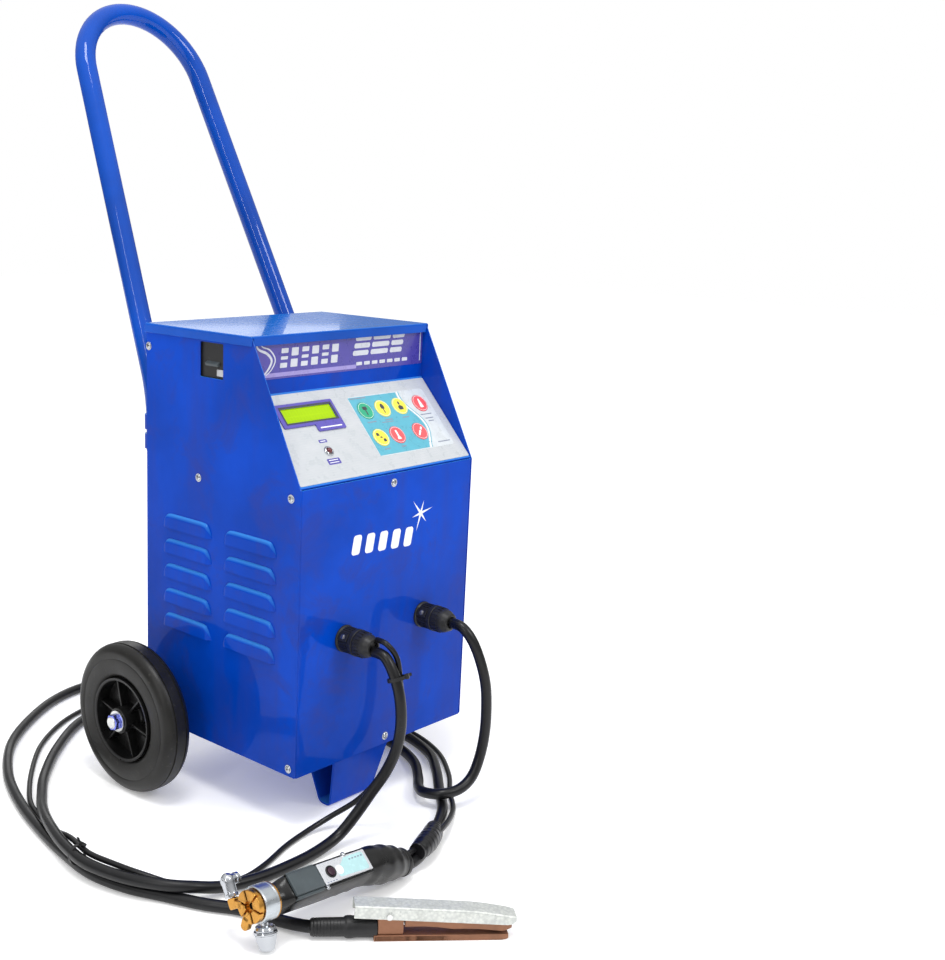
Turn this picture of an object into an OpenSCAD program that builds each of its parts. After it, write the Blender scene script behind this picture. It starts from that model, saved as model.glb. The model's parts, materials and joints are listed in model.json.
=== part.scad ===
// Spot welder on two wheels: sheet-steel cabinet with a sloping control panel, a U-shaped push
// handle, a front foot, a welding gun and a ground clamp on their cables.
// Origin: centre of the foot's flat underside, on the floor. +X right, -Y front, +Z up.

/* [Cabinet] */
// Width over the side panels
cabinet_w = 324; // [310:1:340]
// Depth from the front panel to the rear panel
cabinet_d = 290; // [280:1:310]
// Height of the cabinet's underside above the floor
base_z = 72; // [68:1:76]
// Height of the front panel's top edge above the floor
front_top_z = 437; // [430:1:445]
// Height of the lid's top face above the floor
lid_top_z = 611; // [605:1:618]
// Distance of the lid's front edge behind the front panel
lid_setback = 89; // [86:1:92]
// Thickness of the sheet steel
sheet_t = 1.5; // [1.2:0.1:2]
// Distance of the rear panel in front of the side panels' rear edges
rear_inset = 10; // [8:1:14]
// Distance of the cabinet's centre line to the right of the foot's centre
cabinet_shift = 37; // [30:1:44]

/* [Handle] */
// Outer diameter of the handle tube
handle_d = 28.5; // [24:0.5:32]
// Half distance between the legs where they pass the lid
handle_half_w = 132; // [128:1:136]
// Radius of the top bow, to the tube's centre line
handle_bow_r = 102; // [98:1:106]
// Backward lean of the handle from vertical, in degrees
handle_lean = 25.2; // [22:0.1:27]
// Convergence of each leg towards the top, in degrees
handle_taper = 4.8; // [4.2:0.1:5.4]

/* [Wheels] */
// Outer diameter of a tyre
wheel_d = 200; // [196:1:204]
// Width of a tyre
tyre_w = 40; // [34:1:44]
// Distance of a tyre's mid-plane from the side panel
wheel_offset = 62; // [58:1:66]
// Distance of the axle behind the front panel
axle_setback = 242.5; // [236:0.5:246]
// Diameter of the axle
axle_d = 16; // [14:1:18]

/* [Foot] */
// Length of the foot along the front panel
foot_len = 102; // [90:1:110]
// Width of the foot's flat underside
foot_flat = 6; // [4:1:8]
// Lean of the foot's two webs from vertical, in degrees
foot_lean = 13; // [11:0.5:15]

/* [Louvres] */
// Louvres in one column
louvre_rows = 5; // [3:1:5]
// Length of one louvre
louvre_len = 96; // [80:1:100]
// Height of one louvre
louvre_h = 19; // [14:1:22]
// Distance between louvres, up and down
louvre_pitch = 33.8; // [30:0.1:36]
// How far a louvre stands out of the panel
louvre_out = 5; // [3:0.5:7]

/* [Control panel] */
// Diameter of a key
key_d = 26; // [22:1:26]
// How far a key stands out of the keypad, which is also its travel
key_proud = 0.5; // [0.3:0.1:0.8]
// Width of the display's glass
lcd_w = 88; // [80:1:92]
// Height of the display's glass
lcd_h = 22.4; // [18:0.1:24]

/* [Cables] */
// Diameter of the two welding cables
cable_d = 14; // [12:1:14]
// Diameter of the gun's control cable
control_d = 7; // [5:1:7]
// Sides of a cable's tube
cable_sides = 10; // [8:1:12]

/* [Welding gun] */
// Length from the collet's face to the end of the grip
gun_len = 246; // [240:1:250]
// Turn of the gun about its own axis as it lies, in degrees
gun_roll = 40; // [34:0.5:42]
// Diameter of the nut round the collet
gun_nut_d = 40; // [38:1:42]
// Diameter of the trigger button
button_d = 10; // [8:1:12]

/* [Ground clamp] */
// Length from the sleeve's mouth to the tip of the jaws
clamp_len = 222; // [210:1:230]
// Width of the clamp's channel
clamp_w = 24; // [20:1:26]
// Turn of the clamp on the floor, in degrees
clamp_turn = -42; // [-50:1:-35]

/* [Hidden] */

$fn = 48;
eps = 0.01;

// Cabinet's edges
left_x = cabinet_shift - cabinet_w / 2;
right_x = cabinet_shift + cabinet_w / 2;
front_y = -30;
rear_y = front_y + cabinet_d;
back_y = rear_y - rear_inset;
lid_front_y = front_y + lid_setback;
inner_w = cabinet_w - 2 * sheet_t;
flange = 18;

// Lid
lid_lip = 12;
lid_gap = 0.5;
lid_under_z = lid_top_z - sheet_t;

// Wheels
wheel_r = wheel_d / 2;
axle_y = front_y + axle_setback;
axle_z = wheel_r;
wheel_left_x = left_x - wheel_offset;
wheel_right_x = right_x + wheel_offset;
hub_r = 56;
hub_half_w = 25;
hub_core_r = 17;
hub_play = 0.05;
rim_t = 4;
rib_count = 6;
axle_end = 12;

// Sloping facia: its lower edge, its upper edge and its slope
facia_low_y = front_y + sheet_t + 0.2;
facia_low_z = front_top_z + 1.5;
banner_y = lid_front_y + 5;
facia_top_z = 538;
facia_slope = atan2(facia_top_z - facia_low_z, banner_y - facia_low_y);
facia_len = norm([facia_top_z - facia_low_z, banner_y - facia_low_y]);
film_t = 0.6;
key_t = 2.6;
key_play = 0.3;

// Keys: distance from the centre line, distance up the slope
key_places = [[16.5, 93], [49.4, 93], [83, 93], [124.3, 93], [16.5, 51], [48.3, 51], [93.2, 51]];
lcd_place = [-83.3, 100];
lamp_place = [-84.5, 44];
lamp_hole_d = 8;
keypad_place = [70.4, 70];
keypad_size = [148.6, 92.6];

// Side panel details: distance back from the front panel, height above the floor
side_screws = [[285, 581], [185, 423], [16, 425], [12, 82]];
front_screws = [front_top_z - 12, base_z + 11];
front_screw_shift = 4;
breaker_centre = [161.5, 575];
breaker_window = [43, 44];
toggle_throw = 60;
louvre_columns = [87, 206.5];
louvre_low_z = 221.5;
screw_head_r = 4;
screw_head_h = 2.4;

// Glands on the front panel
gland_xs = [cabinet_shift - 79.5, cabinet_shift + 70.5];
gland_z = 237;
gland_hole_r = 15;
gland_len = 50;
mains_gland_x = cabinet_shift - 90;
mains_gland_z = 130;

// Handle in its own leaning plane: height of the bow's centre above the lid's level
handle_y = rear_y + 51;
bow_centre_h = (handle_half_w - handle_bow_r / cos(handle_taper)) / tan(handle_taper);
handle_back_y = back_y + handle_d / 2;
leg_drop = (handle_y - handle_back_y) / sin(handle_lean);
handle_foot_z = 440;

// Transformer
core_size = [170, 96, 170];
core_at = [cabinet_shift, 100, base_z + 2];
window_size = [34, 100];
limb_w = 51;

// Gun as it lies on the floor
gun_at = [-350, -191.5, 53];
gun_pitch = 5;
gun_yaw = -1;
gun_top = 22.5;
label_half_w = 12.5;
label_from = 90;
label_to = 164;
cover_from = 47;
head_r = 16.5;
head_roll = -15;
ear_y = 27;
ear_w = 12;
knob_place = 20;
lever_lean = 18.5;
screw_r = 3;

// Clamp as it lies on the floor
clamp_at = [-280.5, -214, 0];
clamp_pin_at = [84, 26];
clamp_tilt = 3.5;
clamp_pin_r = 2.5;
clamp_tail = 38;
clamp_nose = clamp_len - clamp_pin_at[0];
jaw_t = 7;
bar_from = 68;
sleeve_to = 72;
liner_t = 9;

// Cable routes, from the exit to the far end, as points on the centre line
gun_route = [
    [-42, -80, 232], [-42, -98, 230], [-41, -112, 212], [-40, -122, 186], [-41, -127, 154],
    [-46, -126, 122], [-56, -119, 92], [-72, -109, 64], [-90, -101, 38], [-112, -95, 17],
    [-146, -95, 9], [-188, -97, 8], [-240, -94, 8], [-290, -84, 11], [-324, -73, 19],
    [-348, -52, 22], [-370, -10, 22], [-382, 44, 22], [-377, 92, 22], [-362, 145, 22],
    [-338, 200, 19], [-302, 256, 10], [-264, 306, 8], [-200, 370, 7.2], [-120, 428, 7.2],
    [-40, 448, 7.2], [30, 434, 7.2], [100, 390, 7.2], [158, 328, 7.2], [194, 250, 7.2],
    [206, 160, 7.2], [202, 75, 7.2], [178, 6, 7.2], [140, -40, 7.2], [98, -80, 7.2],
    [54, -122, 8], [10, -150, 9], [-36, -174, 13], [-76, -193, 13], [-107, -196, 12]
];
control_route = [
    [-38, -80, 247], [-38, -97, 245], [-30, -107, 228], [-29, -113, 200], [-29, -118, 160],
    [-34, -118, 130], [-42, -112, 100], [-48, -96, 68], [-58, -74, 38], [-84, -52, 16],
    [-118, -46, 6], [-160, -53, 4], [-212, -70, 4], [-252, -76, 4], [-292, -66, 5],
    [-326, -46, 12], [-350, -14, 21], [-364, 24, 25], [-369, 62, 25], [-360, 110, 23],
    [-350, 152, 12], [-342, 186, 5], [-331, 224, 4], [-314, 266, 4], [-266, 334, 4],
    [-200, 406, 4], [-120, 458, 4], [-40, 476, 4], [50, 458, 4], [128, 400, 4],
    [186, 330, 4], [216, 250, 4], [226, 160, 4], [222, 75, 4], [196, 4, 4],
    [150, -54, 4], [104, -94, 5], [58, -136, 7], [-22, -179, 22], [-107, -195, 25]
];
ground_route = [
    [108, -80, 237], [108, -98, 235], [112, -112, 220], [118, -122, 194], [123, -129, 162],
    [125, -131, 128], [124, -131, 94], [117, -130, 62], [103, -129, 38], [82, -125, 26],
    [60, -112, 22], [56, -88, 18], [72, -66, 13], [104, -38, 8], [140, 2, 8],
    [164, 60, 7.2], [172, 130, 7.2], [166, 200, 8], [154, 270, 9], [142, 330, 19],
    [126, 385, 23], [98, 440, 18], [50, 500, 8], [-15, 540, 8], [-90, 530, 7.2],
    [-170, 484, 7.2], [-240, 424, 7.2], [-296, 344, 7.2], [-332, 262, 7.2], [-356, 180, 7.2],
    [-370, 110, 7.2], [-376, 50, 7.2], [-366, -4, 7.2], [-346, -50, 7.2], [-326, -94, 7.2],
    [-304, -130, 7.2], [-292, -168, 7.2], [-284, -196, 9], [-278, -216, 12]
];
sleeve_route = [[-6, -159, 14], [-32, -175, 18], [-60, -188, 21], [-84, -196, 23]];

// A smooth curve through hand-set points
function spline_point(p0, p1, p2, p3, t) =
    0.5 * (2 * p1 + (p2 - p0) * t + (2 * p0 - 5 * p1 + 4 * p2 - p3) * t * t
        + (3 * p1 - p0 - 3 * p2 + p3) * t * t * t);

function smooth(points, steps) =
    let (last = len(points) - 1)
    [
        for (i = [0:last - 1], s = [0:steps - 1])
            spline_point(points[max(i - 1, 0)], points[i], points[i + 1], points[min(i + 2, last)], s / steps),
        points[last]
    ];

function unit(v) = v / norm(v);

function tangent(path, i) = unit(path[min(i + 1, len(path) - 1)] - path[max(i - 1, 0)]);

// Frames carried along the path without twisting
function carried(side, t) = unit(side - (side * t) * t);

function sides_along(path, i, side) =
    let (s = carried(side, tangent(path, i)))
    i == len(path) - 1 ? [s] : concat([s], sides_along(path, i + 1, s));

module tube_along(path, radii, sides, first_side) {
    n = len(path);
    across = sides_along(path, 0, first_side);
    ring_points = [
        for (i = [0:n - 1])
            let (t = tangent(path, i), u = across[i], v = cross(t, u), r = is_list(radii) ? radii[i] : radii)
            for (k = [0:sides - 1])
                path[i] + r * (cos(360 * k / sides) * u + sin(360 * k / sides) * v)
    ];
    walls = [
        for (i = [0:n - 2], k = [0:sides - 1])
            let (a = i * sides + k, b = i * sides + (k + 1) % sides)
            each [[a, a + sides, b + sides], [a, b + sides, b]]
    ];
    first_cap = [for (k = [0:sides - 1]) k];
    last_cap = [for (k = [sides - 1:-1:0]) (n - 1) * sides + k];
    polyhedron(ring_points, concat([first_cap, last_cap], walls));
}

// Every point is a hand-set one or the middle of two of them
module cable(route, diameter) {
    tube_along(smooth(route, 2), diameter / 2, cable_sides, [1, 0, 0]);
}

// Draws a (y, z) outline as a plate from x to x + t
module plate_yz(x, t) {
    translate([x, 0, 0])
        rotate([90, 0, 90])
            linear_extrude(t)
                children();
}

module box(low, high) {
    translate(low)
        cube(high - low);
}

module x_cylinder(x0, x1, r) {
    translate([x0, 0, 0])
        rotate([0, 90, 0])
            cylinder(h = x1 - x0, r = r);
}

module y_cylinder(y0, y1, r) {
    translate([0, y0, 0])
        rotate([-90, 0, 0])
            cylinder(h = y1 - y0, r = r);
}

// Places children on the facia: x from the centre line, then up the slope, then out of it
module on_facia(place) {
    translate([
        cabinet_shift + place[0],
        facia_low_y + place[1] * cos(facia_slope),
        facia_low_z + place[1] * sin(facia_slope)
    ])
        rotate([facia_slope, 0, 0])
            children();
}

module side_outline() {
    polygon([
        [front_y, base_z],
        [rear_y, base_z],
        [rear_y, lid_under_z],
        [lid_front_y, lid_under_z],
        [front_y, front_top_z]
    ]);
}

// One pressed louvre: a hood that is open along its lower edge, in (out, up)
module louvre_hood(length) {
    skin = 1;
    difference() {
        linear_extrude(length)
            polygon([[0, 0], [louvre_out, 0], [louvre_out, louvre_h * 0.6], [0, louvre_h]]);
        translate([0, 0, skin])
            linear_extrude(length - 2 * skin)
                polygon([
                    [-1, -1],
                    [louvre_out - skin, -1],
                    [louvre_out - skin, louvre_h * 0.55],
                    [0, louvre_h - 2 * skin],
                    [-1, louvre_h - 2 * skin]
                ]);
    }
}

// outward is -1 on the left panel and 1 on the right panel
module louvres(x, outward) {
    for (column = louvre_columns, row = [0:louvre_rows - 1]) {
        y0 = front_y + column - louvre_len / 2;
        z0 = louvre_low_z + row * louvre_pitch - louvre_h / 2;
        translate([x, y0, z0])
            mirror([outward < 0 ? 1 : 0, 0, 0])
                translate([0, louvre_len, 0])
                    rotate([90, 0, 0])
                        louvre_hood(louvre_len);
    }
}

module louvre_slots(x) {
    for (column = louvre_columns, row = [0:louvre_rows - 1]) {
        y0 = front_y + column - louvre_len / 2;
        z0 = louvre_low_z + row * louvre_pitch - louvre_h / 2;
        box([x - 1, y0 + 2, z0], [x + sheet_t + 1, y0 + louvre_len - 2, z0 + louvre_h - 5]);
    }
}

module side_sheet(x) {
    difference() {
        plate_yz(x, sheet_t)
            side_outline();
        louvre_slots(x);
        translate([0, axle_y, axle_z])
            x_cylinder(x - 1, x + sheet_t + 1, axle_d / 2 + 1);
    }
}

module side_panel_left() {
    color("royalblue") {
        difference() {
            side_sheet(left_x);
            box(
                [left_x - 1, front_y + breaker_centre[0] - breaker_window[0] / 2,
                    breaker_centre[1] - breaker_window[1] / 2],
                [left_x + sheet_t + 1, front_y + breaker_centre[0] + breaker_window[0] / 2,
                    breaker_centre[1] + breaker_window[1] / 2]
            );
        }
        louvres(left_x, -1);
    }
}

module side_panel_right() {
    color("royalblue") {
        side_sheet(right_x - sheet_t);
        louvres(right_x, 1);
    }
}

module front_panel() {
    x0 = left_x + sheet_t;
    x1 = right_x - sheet_t;
    color("royalblue")
        difference() {
            union() {
                box([x0, front_y, base_z], [x1, front_y + sheet_t, front_top_z]);
                box([x0, front_y, base_z], [x0 + sheet_t, front_y + flange, front_top_z]);
                box([x1 - sheet_t, front_y, base_z], [x1, front_y + flange, front_top_z]);
            }
            for (x = gland_xs)
                translate([x, 0, gland_z])
                    y_cylinder(front_y - 1, front_y + sheet_t + 1, gland_hole_r);
        }
}

// Bent sheet: the sloping facia and, above it, the upright banner
module control_panel() {
    outline = [
        [facia_low_y, facia_low_z],
        [banner_y, facia_top_z],
        [banner_y, lid_under_z],
        [banner_y + sheet_t, lid_under_z],
        [banner_y + sheet_t, facia_top_z - 0.6],
        [facia_low_y + sheet_t, facia_low_z - 0.6]
    ];
    color("royalblue")
        difference() {
            plate_yz(left_x + sheet_t, inner_w)
                polygon(outline);
            facia_holes(4, -3);
        }
}

// Openings for the display, the lamp and the keys, cut from depth from_n up to to_n
module facia_holes(to_n, from_n) {
    on_facia(lcd_place)
        translate([-lcd_w / 2, -lcd_h / 2, from_n])
            cube([lcd_w, lcd_h, to_n - from_n]);
    on_facia(lamp_place)
        translate([0, 0, from_n])
            cylinder(h = to_n - from_n, r = lamp_hole_d / 2);
    for (place = key_places)
        on_facia(place)
            translate([0, 0, from_n])
                cylinder(h = to_n - from_n, r = key_d / 2 + key_play);
}

module panel_film() {
    margin = 1;
    color("whitesmoke")
        difference() {
            on_facia([0, facia_len / 2])
                translate([-inner_w / 2 + margin, -facia_len / 2 + 2, 0])
                    cube([inner_w - 2 * margin, facia_len - 5, film_t]);
            facia_holes(4, -3);
        }
}

module keypad_film() {
    color("deepskyblue")
        difference() {
            on_facia(keypad_place)
                translate([-keypad_size[0] / 2, -keypad_size[1] / 2, film_t])
                    cube([keypad_size[0], keypad_size[1], film_t]);
            facia_holes(4, -3);
        }
}

module key(index) {
    key_colours = ["green", "yellow", "yellow", "red", "yellow", "red", "red"];
    color(key_colours[index])
        on_facia(key_places[index])
            translate([0, 0, 2 * film_t + key_proud - key_t])
                cylinder(h = key_t, r = key_d / 2);
}

module lcd_module() {
    color("darkgreen")
        on_facia(lcd_place)
            translate([-lcd_w / 2 - 5, -lcd_h / 2 - 5, -sheet_t - 9])
                cube([lcd_w + 10, lcd_h + 10, 9]);
}

module lcd_bezel() {
    rim = 6;
    tab = [49, 10];
    color("darkslateblue")
        on_facia(lcd_place)
            difference() {
                union() {
                    translate([-lcd_w / 2 - rim - 2, -lcd_h / 2 - rim, film_t])
                        cube([lcd_w + 2 * rim + 2, lcd_h + 2 * rim, 2]);
                    translate([lcd_w / 2 + rim - tab[0], -lcd_h / 2 - rim - tab[1], film_t])
                        cube([tab[0], tab[1] + 1, 2]);
                }
                translate([-lcd_w / 2, -lcd_h / 2, 0])
                    cube([lcd_w, lcd_h, 4]);
            }
}

module lcd_window() {
    color("greenyellow")
        on_facia(lcd_place)
            translate([-lcd_w / 2, -lcd_h / 2, -sheet_t])
                cube([lcd_w, lcd_h, sheet_t + 1.6]);
}

module lamp_ring() {
    color("silver")
        on_facia(lamp_place)
            difference() {
                translate([0, 0, film_t])
                    cylinder(h = 2.4, r = 7);
                cylinder(h = 6, r = lamp_hole_d / 2);
            }
}

module lamp_lens() {
    color("red")
        on_facia(lamp_place) {
            translate([0, 0, -sheet_t - 8])
                cylinder(h = sheet_t + 8 + 3, r = lamp_hole_d / 2);
            translate([0, 0, 3])
                intersection() {
                    sphere(r = lamp_hole_d / 2);
                    cylinder(h = lamp_hole_d, r = lamp_hole_d);
                }
        }
}

module top_cover() {
    x0 = left_x - lid_gap - sheet_t;
    x1 = right_x + lid_gap + sheet_t;
    y0 = lid_front_y - sheet_t;
    y1 = rear_y + lid_gap + sheet_t;
    color("royalblue")
        difference() {
            box([x0, y0, lid_top_z - lid_lip], [x1, y1, lid_top_z]);
            box(
                [x0 + sheet_t, y0 + sheet_t, lid_top_z - lid_lip - 1],
                [x1 - sheet_t, y1 - sheet_t, lid_under_z]
            );
            for (x = [left_x, right_x - sheet_t])
                box(
                    [x - lid_gap, y0 - 1, lid_top_z - lid_lip - 1],
                    [x + sheet_t + lid_gap, y0 + 3, lid_under_z]
                );
        }
}

module rear_panel() {
    x0 = left_x + sheet_t;
    x1 = right_x - sheet_t;
    slot_rows = 6;
    slot_pitch = 16;
    slot_half = 70;
    slot_h = 6;
    slot_low_z = 180;
    color("royalblue")
        difference() {
            union() {
                box([x0, back_y - sheet_t, base_z], [x1, back_y, lid_under_z]);
                box([x0, back_y - flange, base_z], [x0 + sheet_t, back_y, lid_under_z]);
                box([x1 - sheet_t, back_y - flange, base_z], [x1, back_y, lid_under_z]);
            }
            for (row = [0:slot_rows - 1])
                box(
                    [cabinet_shift - slot_half, back_y - sheet_t - 1, slot_low_z + row * slot_pitch],
                    [cabinet_shift + slot_half, back_y + 1, slot_low_z + slot_h + row * slot_pitch]
                );
            translate([mains_gland_x, 0, mains_gland_z])
                y_cylinder(back_y - sheet_t - 1, back_y + 1, gland_hole_r);
        }
}

module base_plate() {
    color("royalblue")
        box(
            [left_x + 2 * sheet_t, front_y + sheet_t, base_z],
            [right_x - 2 * sheet_t, back_y - sheet_t, base_z + 2]
        );
}

// Half profile of the foot's folded sheet at bend radius r, from the floor up to the cabinet
function foot_half(r, bend_z, top_z) =
    let (
        c = foot_flat / 2,
        run = (top_z - bend_z + r * sin(foot_lean)) / cos(foot_lean),
        turn = 90 - foot_lean
    )
    concat(
        [for (k = [0:8]) [c + r * sin(turn * k / 8), bend_z - r * cos(turn * k / 8)]],
        [[c + r * cos(foot_lean) + run * sin(foot_lean), top_z]]
    );

function reversed(points) = [for (k = [len(points) - 1:-1:0]) points[k]];

function flipped(points) = [for (p = points) [-p[0], p[1]]];

function mirrored(points) = reversed(flipped(points));

module foot() {
    sheet = 3;
    bend_r = 9;
    outer = foot_half(bend_r, bend_r, base_z);
    inner = foot_half(bend_r - sheet, bend_r, base_z);
    taper = 12;
    half = foot_len / 2;
    color("royalblue")
        intersection() {
            plate_yz(-half, foot_len)
                polygon(concat(mirrored(outer), outer, reversed(inner), flipped(inner)));
            translate([0, 60, 0])
                rotate([90, 0, 0])
                    linear_extrude(120)
                        polygon([[-half + taper, 0], [half - taper, 0], [half, base_z], [-half, base_z]]);
        }
}

// Point of the handle's centre line in its leaning plane, placed in the part's frame
function handle_point(across, up) = [
    cabinet_shift + across,
    handle_y + up * sin(handle_lean),
    lid_top_z + up * cos(handle_lean)
];

function leg_half_w(up) = handle_half_w - up * tan(handle_taper);

module handle_tube() {
    bow_steps = 24;
    leg_top = bow_centre_h + handle_bow_r * sin(handle_taper);
    low_half = leg_half_w(-leg_drop);
    bend = 18;
    left_leg = [
        [cabinet_shift - low_half, handle_back_y, handle_foot_z],
        [cabinet_shift - low_half, handle_back_y, lid_top_z - leg_drop * cos(handle_lean) - bend],
        handle_point(-leg_half_w(0.3 * bend - leg_drop), 0.3 * bend - leg_drop),
        handle_point(-leg_half_w(2 * bend - leg_drop), 2 * bend - leg_drop),
        handle_point(-leg_half_w(leg_top - 2), leg_top - 2)
    ];
    bow = [
        for (k = [0:bow_steps])
            let (a = 180 - handle_taper - k * (180 - 2 * handle_taper) / bow_steps)
            handle_point(handle_bow_r * cos(a), bow_centre_h + handle_bow_r * sin(a))
    ];
    right_leg = [
        for (k = [len(left_leg) - 1:-1:0])
            [2 * cabinet_shift - left_leg[k][0], left_leg[k][1], left_leg[k][2]]
    ];
    color("blue")
        tube_along(concat(left_leg, bow, right_leg), handle_d / 2, 20, [1, 0, 0]);
}

// Saddles that hold the handle's legs on the rear panel, each with one ear on its inner side
module handle_saddles() {
    saddle_zs = [handle_foot_z + 3, handle_foot_z + 29];
    width = 20;
    ear = 14;
    skin = 2;
    r = handle_d / 2 + 0.3;
    color("royalblue")
        for (side = [-1, 1], z = saddle_zs)
            translate([cabinet_shift + side * leg_half_w(-leg_drop), 0, z])
                mirror([side > 0 ? 1 : 0, 0, 0])
                    difference() {
                        union() {
                            translate([0, handle_back_y, 0])
                                cylinder(h = width, r = r + skin);
                            box([-r - skin, back_y, 0], [r + skin + ear, back_y + skin + 1, width]);
                            box([-r - skin, back_y, 0], [r + skin, handle_back_y, width]);
                        }
                        translate([0, handle_back_y, -1])
                            cylinder(h = width + 2, r = r);
                        box([-r, back_y - r, -1], [r, handle_back_y, width + 1]);
                    }
}

module axle() {
    color("silver")
        translate([0, axle_y, axle_z])
            x_cylinder(wheel_left_x - hub_half_w - axle_end, wheel_right_x + hub_half_w + axle_end, axle_d / 2);
}

// Clamping blocks on the base plate and the tubes that space the wheels off the cabinet
module axle_mounts() {
    block = [24, 36, 42];
    bore_r = axle_d / 2;
    color("dimgray")
        translate([0, axle_y, axle_z])
            for (side = [-1, 1]) {
                panel_x = cabinet_shift + side * (cabinet_w / 2 - 20);
                difference() {
                    translate([panel_x, 0, base_z + 2 - axle_z + block[2] / 2])
                        cube(block, center = true);
                    x_cylinder(panel_x - block[0], panel_x + block[0], bore_r);
                }
                inner_x = cabinet_w / 2 + 0.2;
                outer_x = cabinet_w / 2 + wheel_offset - hub_half_w - 0.5;
                difference() {
                    x_cylinder(
                        cabinet_shift + (side < 0 ? -outer_x : inner_x),
                        cabinet_shift + (side < 0 ? -inner_x : outer_x),
                        bore_r + 4
                    );
                    x_cylinder(cabinet_shift - outer_x - 1, cabinet_shift + outer_x + 1, bore_r);
                }
            }
}

module axle_nuts() {
    washer_t = 2;
    nut_h = 8;
    color("silver")
        translate([0, axle_y, axle_z])
            for (side = [-1, 1])
                difference() {
                    start = cabinet_w / 2 + wheel_offset + hub_half_w + 0.5;
                    translate([cabinet_shift, 0, 0])
                        mirror([side < 0 ? 1 : 0, 0, 0])
                            union() {
                                x_cylinder(start, start + washer_t, 14);
                                translate([start + washer_t, 0, 0])
                                    rotate([0, 90, 0])
                                        cylinder(h = nut_h, r = 11, $fn = 6);
                            }
                    x_cylinder(wheel_left_x - 60, wheel_right_x + 60, axle_d / 2);
                }
}

module tyre(x) {
    shoulder = 14;
    half_w = tyre_w / 2;
    color("#26241f")
        translate([x, axle_y, axle_z])
            rotate([0, 90, 0])
                rotate_extrude($fn = 96)
                    difference() {
                        union() {
                            translate([hub_r + 0.2, -half_w])
                                square([wheel_r - shoulder - hub_r - 0.2, tyre_w]);
                            translate([wheel_r - shoulder, -half_w + shoulder])
                                square([shoulder, tyre_w - 2 * shoulder]);
                            for (side = [-1, 1])
                                translate([wheel_r - shoulder, side * (half_w - shoulder)])
                                    circle(r = shoulder, $fn = 64);
                        }
                        for (side = [-1, 1])
                            translate([wheel_r - 1.4, side * (half_w - shoulder + 1)])
                                square([3, 2.4], center = true);
                    }
}

// Moulded wheel centre: rim, web, ribs and a core bored for the axle
module hub(x) {
    color("#151515")
        translate([x, axle_y, axle_z])
            difference() {
                union() {
                    difference() {
                        x_cylinder(-hub_half_w + 4, hub_half_w - 4, hub_r);
                        x_cylinder(-hub_half_w, hub_half_w, hub_r - rim_t);
                    }
                    x_cylinder(-2, 2, hub_r - rim_t + eps);
                    x_cylinder(-hub_half_w, hub_half_w, hub_core_r);
                    for (k = [0:rib_count - 1])
                        rotate([k * 360 / rib_count, 0, 0])
                            translate([-14, hub_core_r - 1, -1.5])
                                cube([28, hub_r - rim_t - hub_core_r + 1.5, 3]);
                }
                x_cylinder(-hub_half_w - 1, hub_half_w + 1, axle_d / 2 + hub_play);
            }
}

// Pan heads of the screws on the side panels and the front panel
module cabinet_screws() {
    color("silver") {
        for (place = side_screws) {
            translate([left_x, front_y + place[0], place[1]])
                x_cylinder(-screw_head_h, 0, screw_head_r);
            translate([right_x, front_y + place[0], place[1]])
                x_cylinder(0, screw_head_h, screw_head_r);
        }
        for (z = front_screws)
            translate([cabinet_shift + front_screw_shift, front_y, z])
                y_cylinder(-screw_head_h, 0, screw_head_r);
    }
}

// Gland bodies: hexagonal flange outside the sheet and locknut inside it
module cable_gland() {
    color("#1a1a1a") {
        y_cylinder(-26, 0, 17.5);
        y_cylinder(0, sheet_t, gland_hole_r);
        translate([0, sheet_t, 0])
            rotate([-90, 0, 0])
                cylinder(h = 6, r = 19, $fn = 6);
    }
}

module gland_nut() {
    color("#202020") {
        y_cylinder(-gland_len + 6, -26, 16.5);
        y_cylinder(-gland_len, -gland_len + 6, 14.5);
    }
}

module cable_glands() {
    at_glands()
        cable_gland();
}

module gland_nuts() {
    at_glands()
        gland_nut();
}

module at_glands() {
    for (x = gland_xs)
        translate([x, front_y, gland_z])
            children();
    translate([mains_gland_x, back_y, mains_gland_z])
        mirror([0, 1, 0])
            children();
}

module breaker_body() {
    color("dimgray")
        translate([left_x + sheet_t, front_y + breaker_centre[0], breaker_centre[1]])
            difference() {
                box([0.5, -27, -30], [70, 27, 30]);
                box([-1, -22.5, -22.5], [14, 22.5, 22.5]);
            }
}

module breaker_toggle() {
    color("lightgray")
        translate([left_x + sheet_t + 8, front_y + breaker_centre[0], breaker_centre[1]]) {
            rotate([90, 0, 0])
                translate([0, 0, -12])
                    cylinder(h = 24, r = 4);
            rotate([0, -toggle_throw / 2, 0])
                box([-12, -12, -2.2], [0, 12, 2.2]);
        }
}

module transformer_core() {
    color("dimgray")
        translate(core_at)
            difference() {
                translate([-core_size[0] / 2, -core_size[1] / 2, 0])
                    cube(core_size);
                for (side = [-1, 1])
                    translate([side * (limb_w + window_size[0]) / 2, 0, core_size[2] / 2])
                        cube([window_size[0], core_size[1] + 2, window_size[1]], center = true);
            }
}

module coil(from_z, height) {
    room = 1;
    wall = window_size[0] - 2 * room;
    inner = [limb_w + 2 * room, core_size[1] + 2 * room];
    translate(core_at + [0, 0, from_z])
        difference() {
            translate([-inner[0] / 2 - wall, -inner[1] / 2 - wall, 0])
                cube([inner[0] + 2 * wall, inner[1] + 2 * wall, height]);
            translate([-inner[0] / 2, -inner[1] / 2, -1])
                cube([inner[0], inner[1], height + 2]);
        }
}

module primary_coil() {
    color("darkgoldenrod")
        coil(37, 58);
}

module secondary_coil() {
    color("peru")
        coil(97, 34);
}

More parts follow.
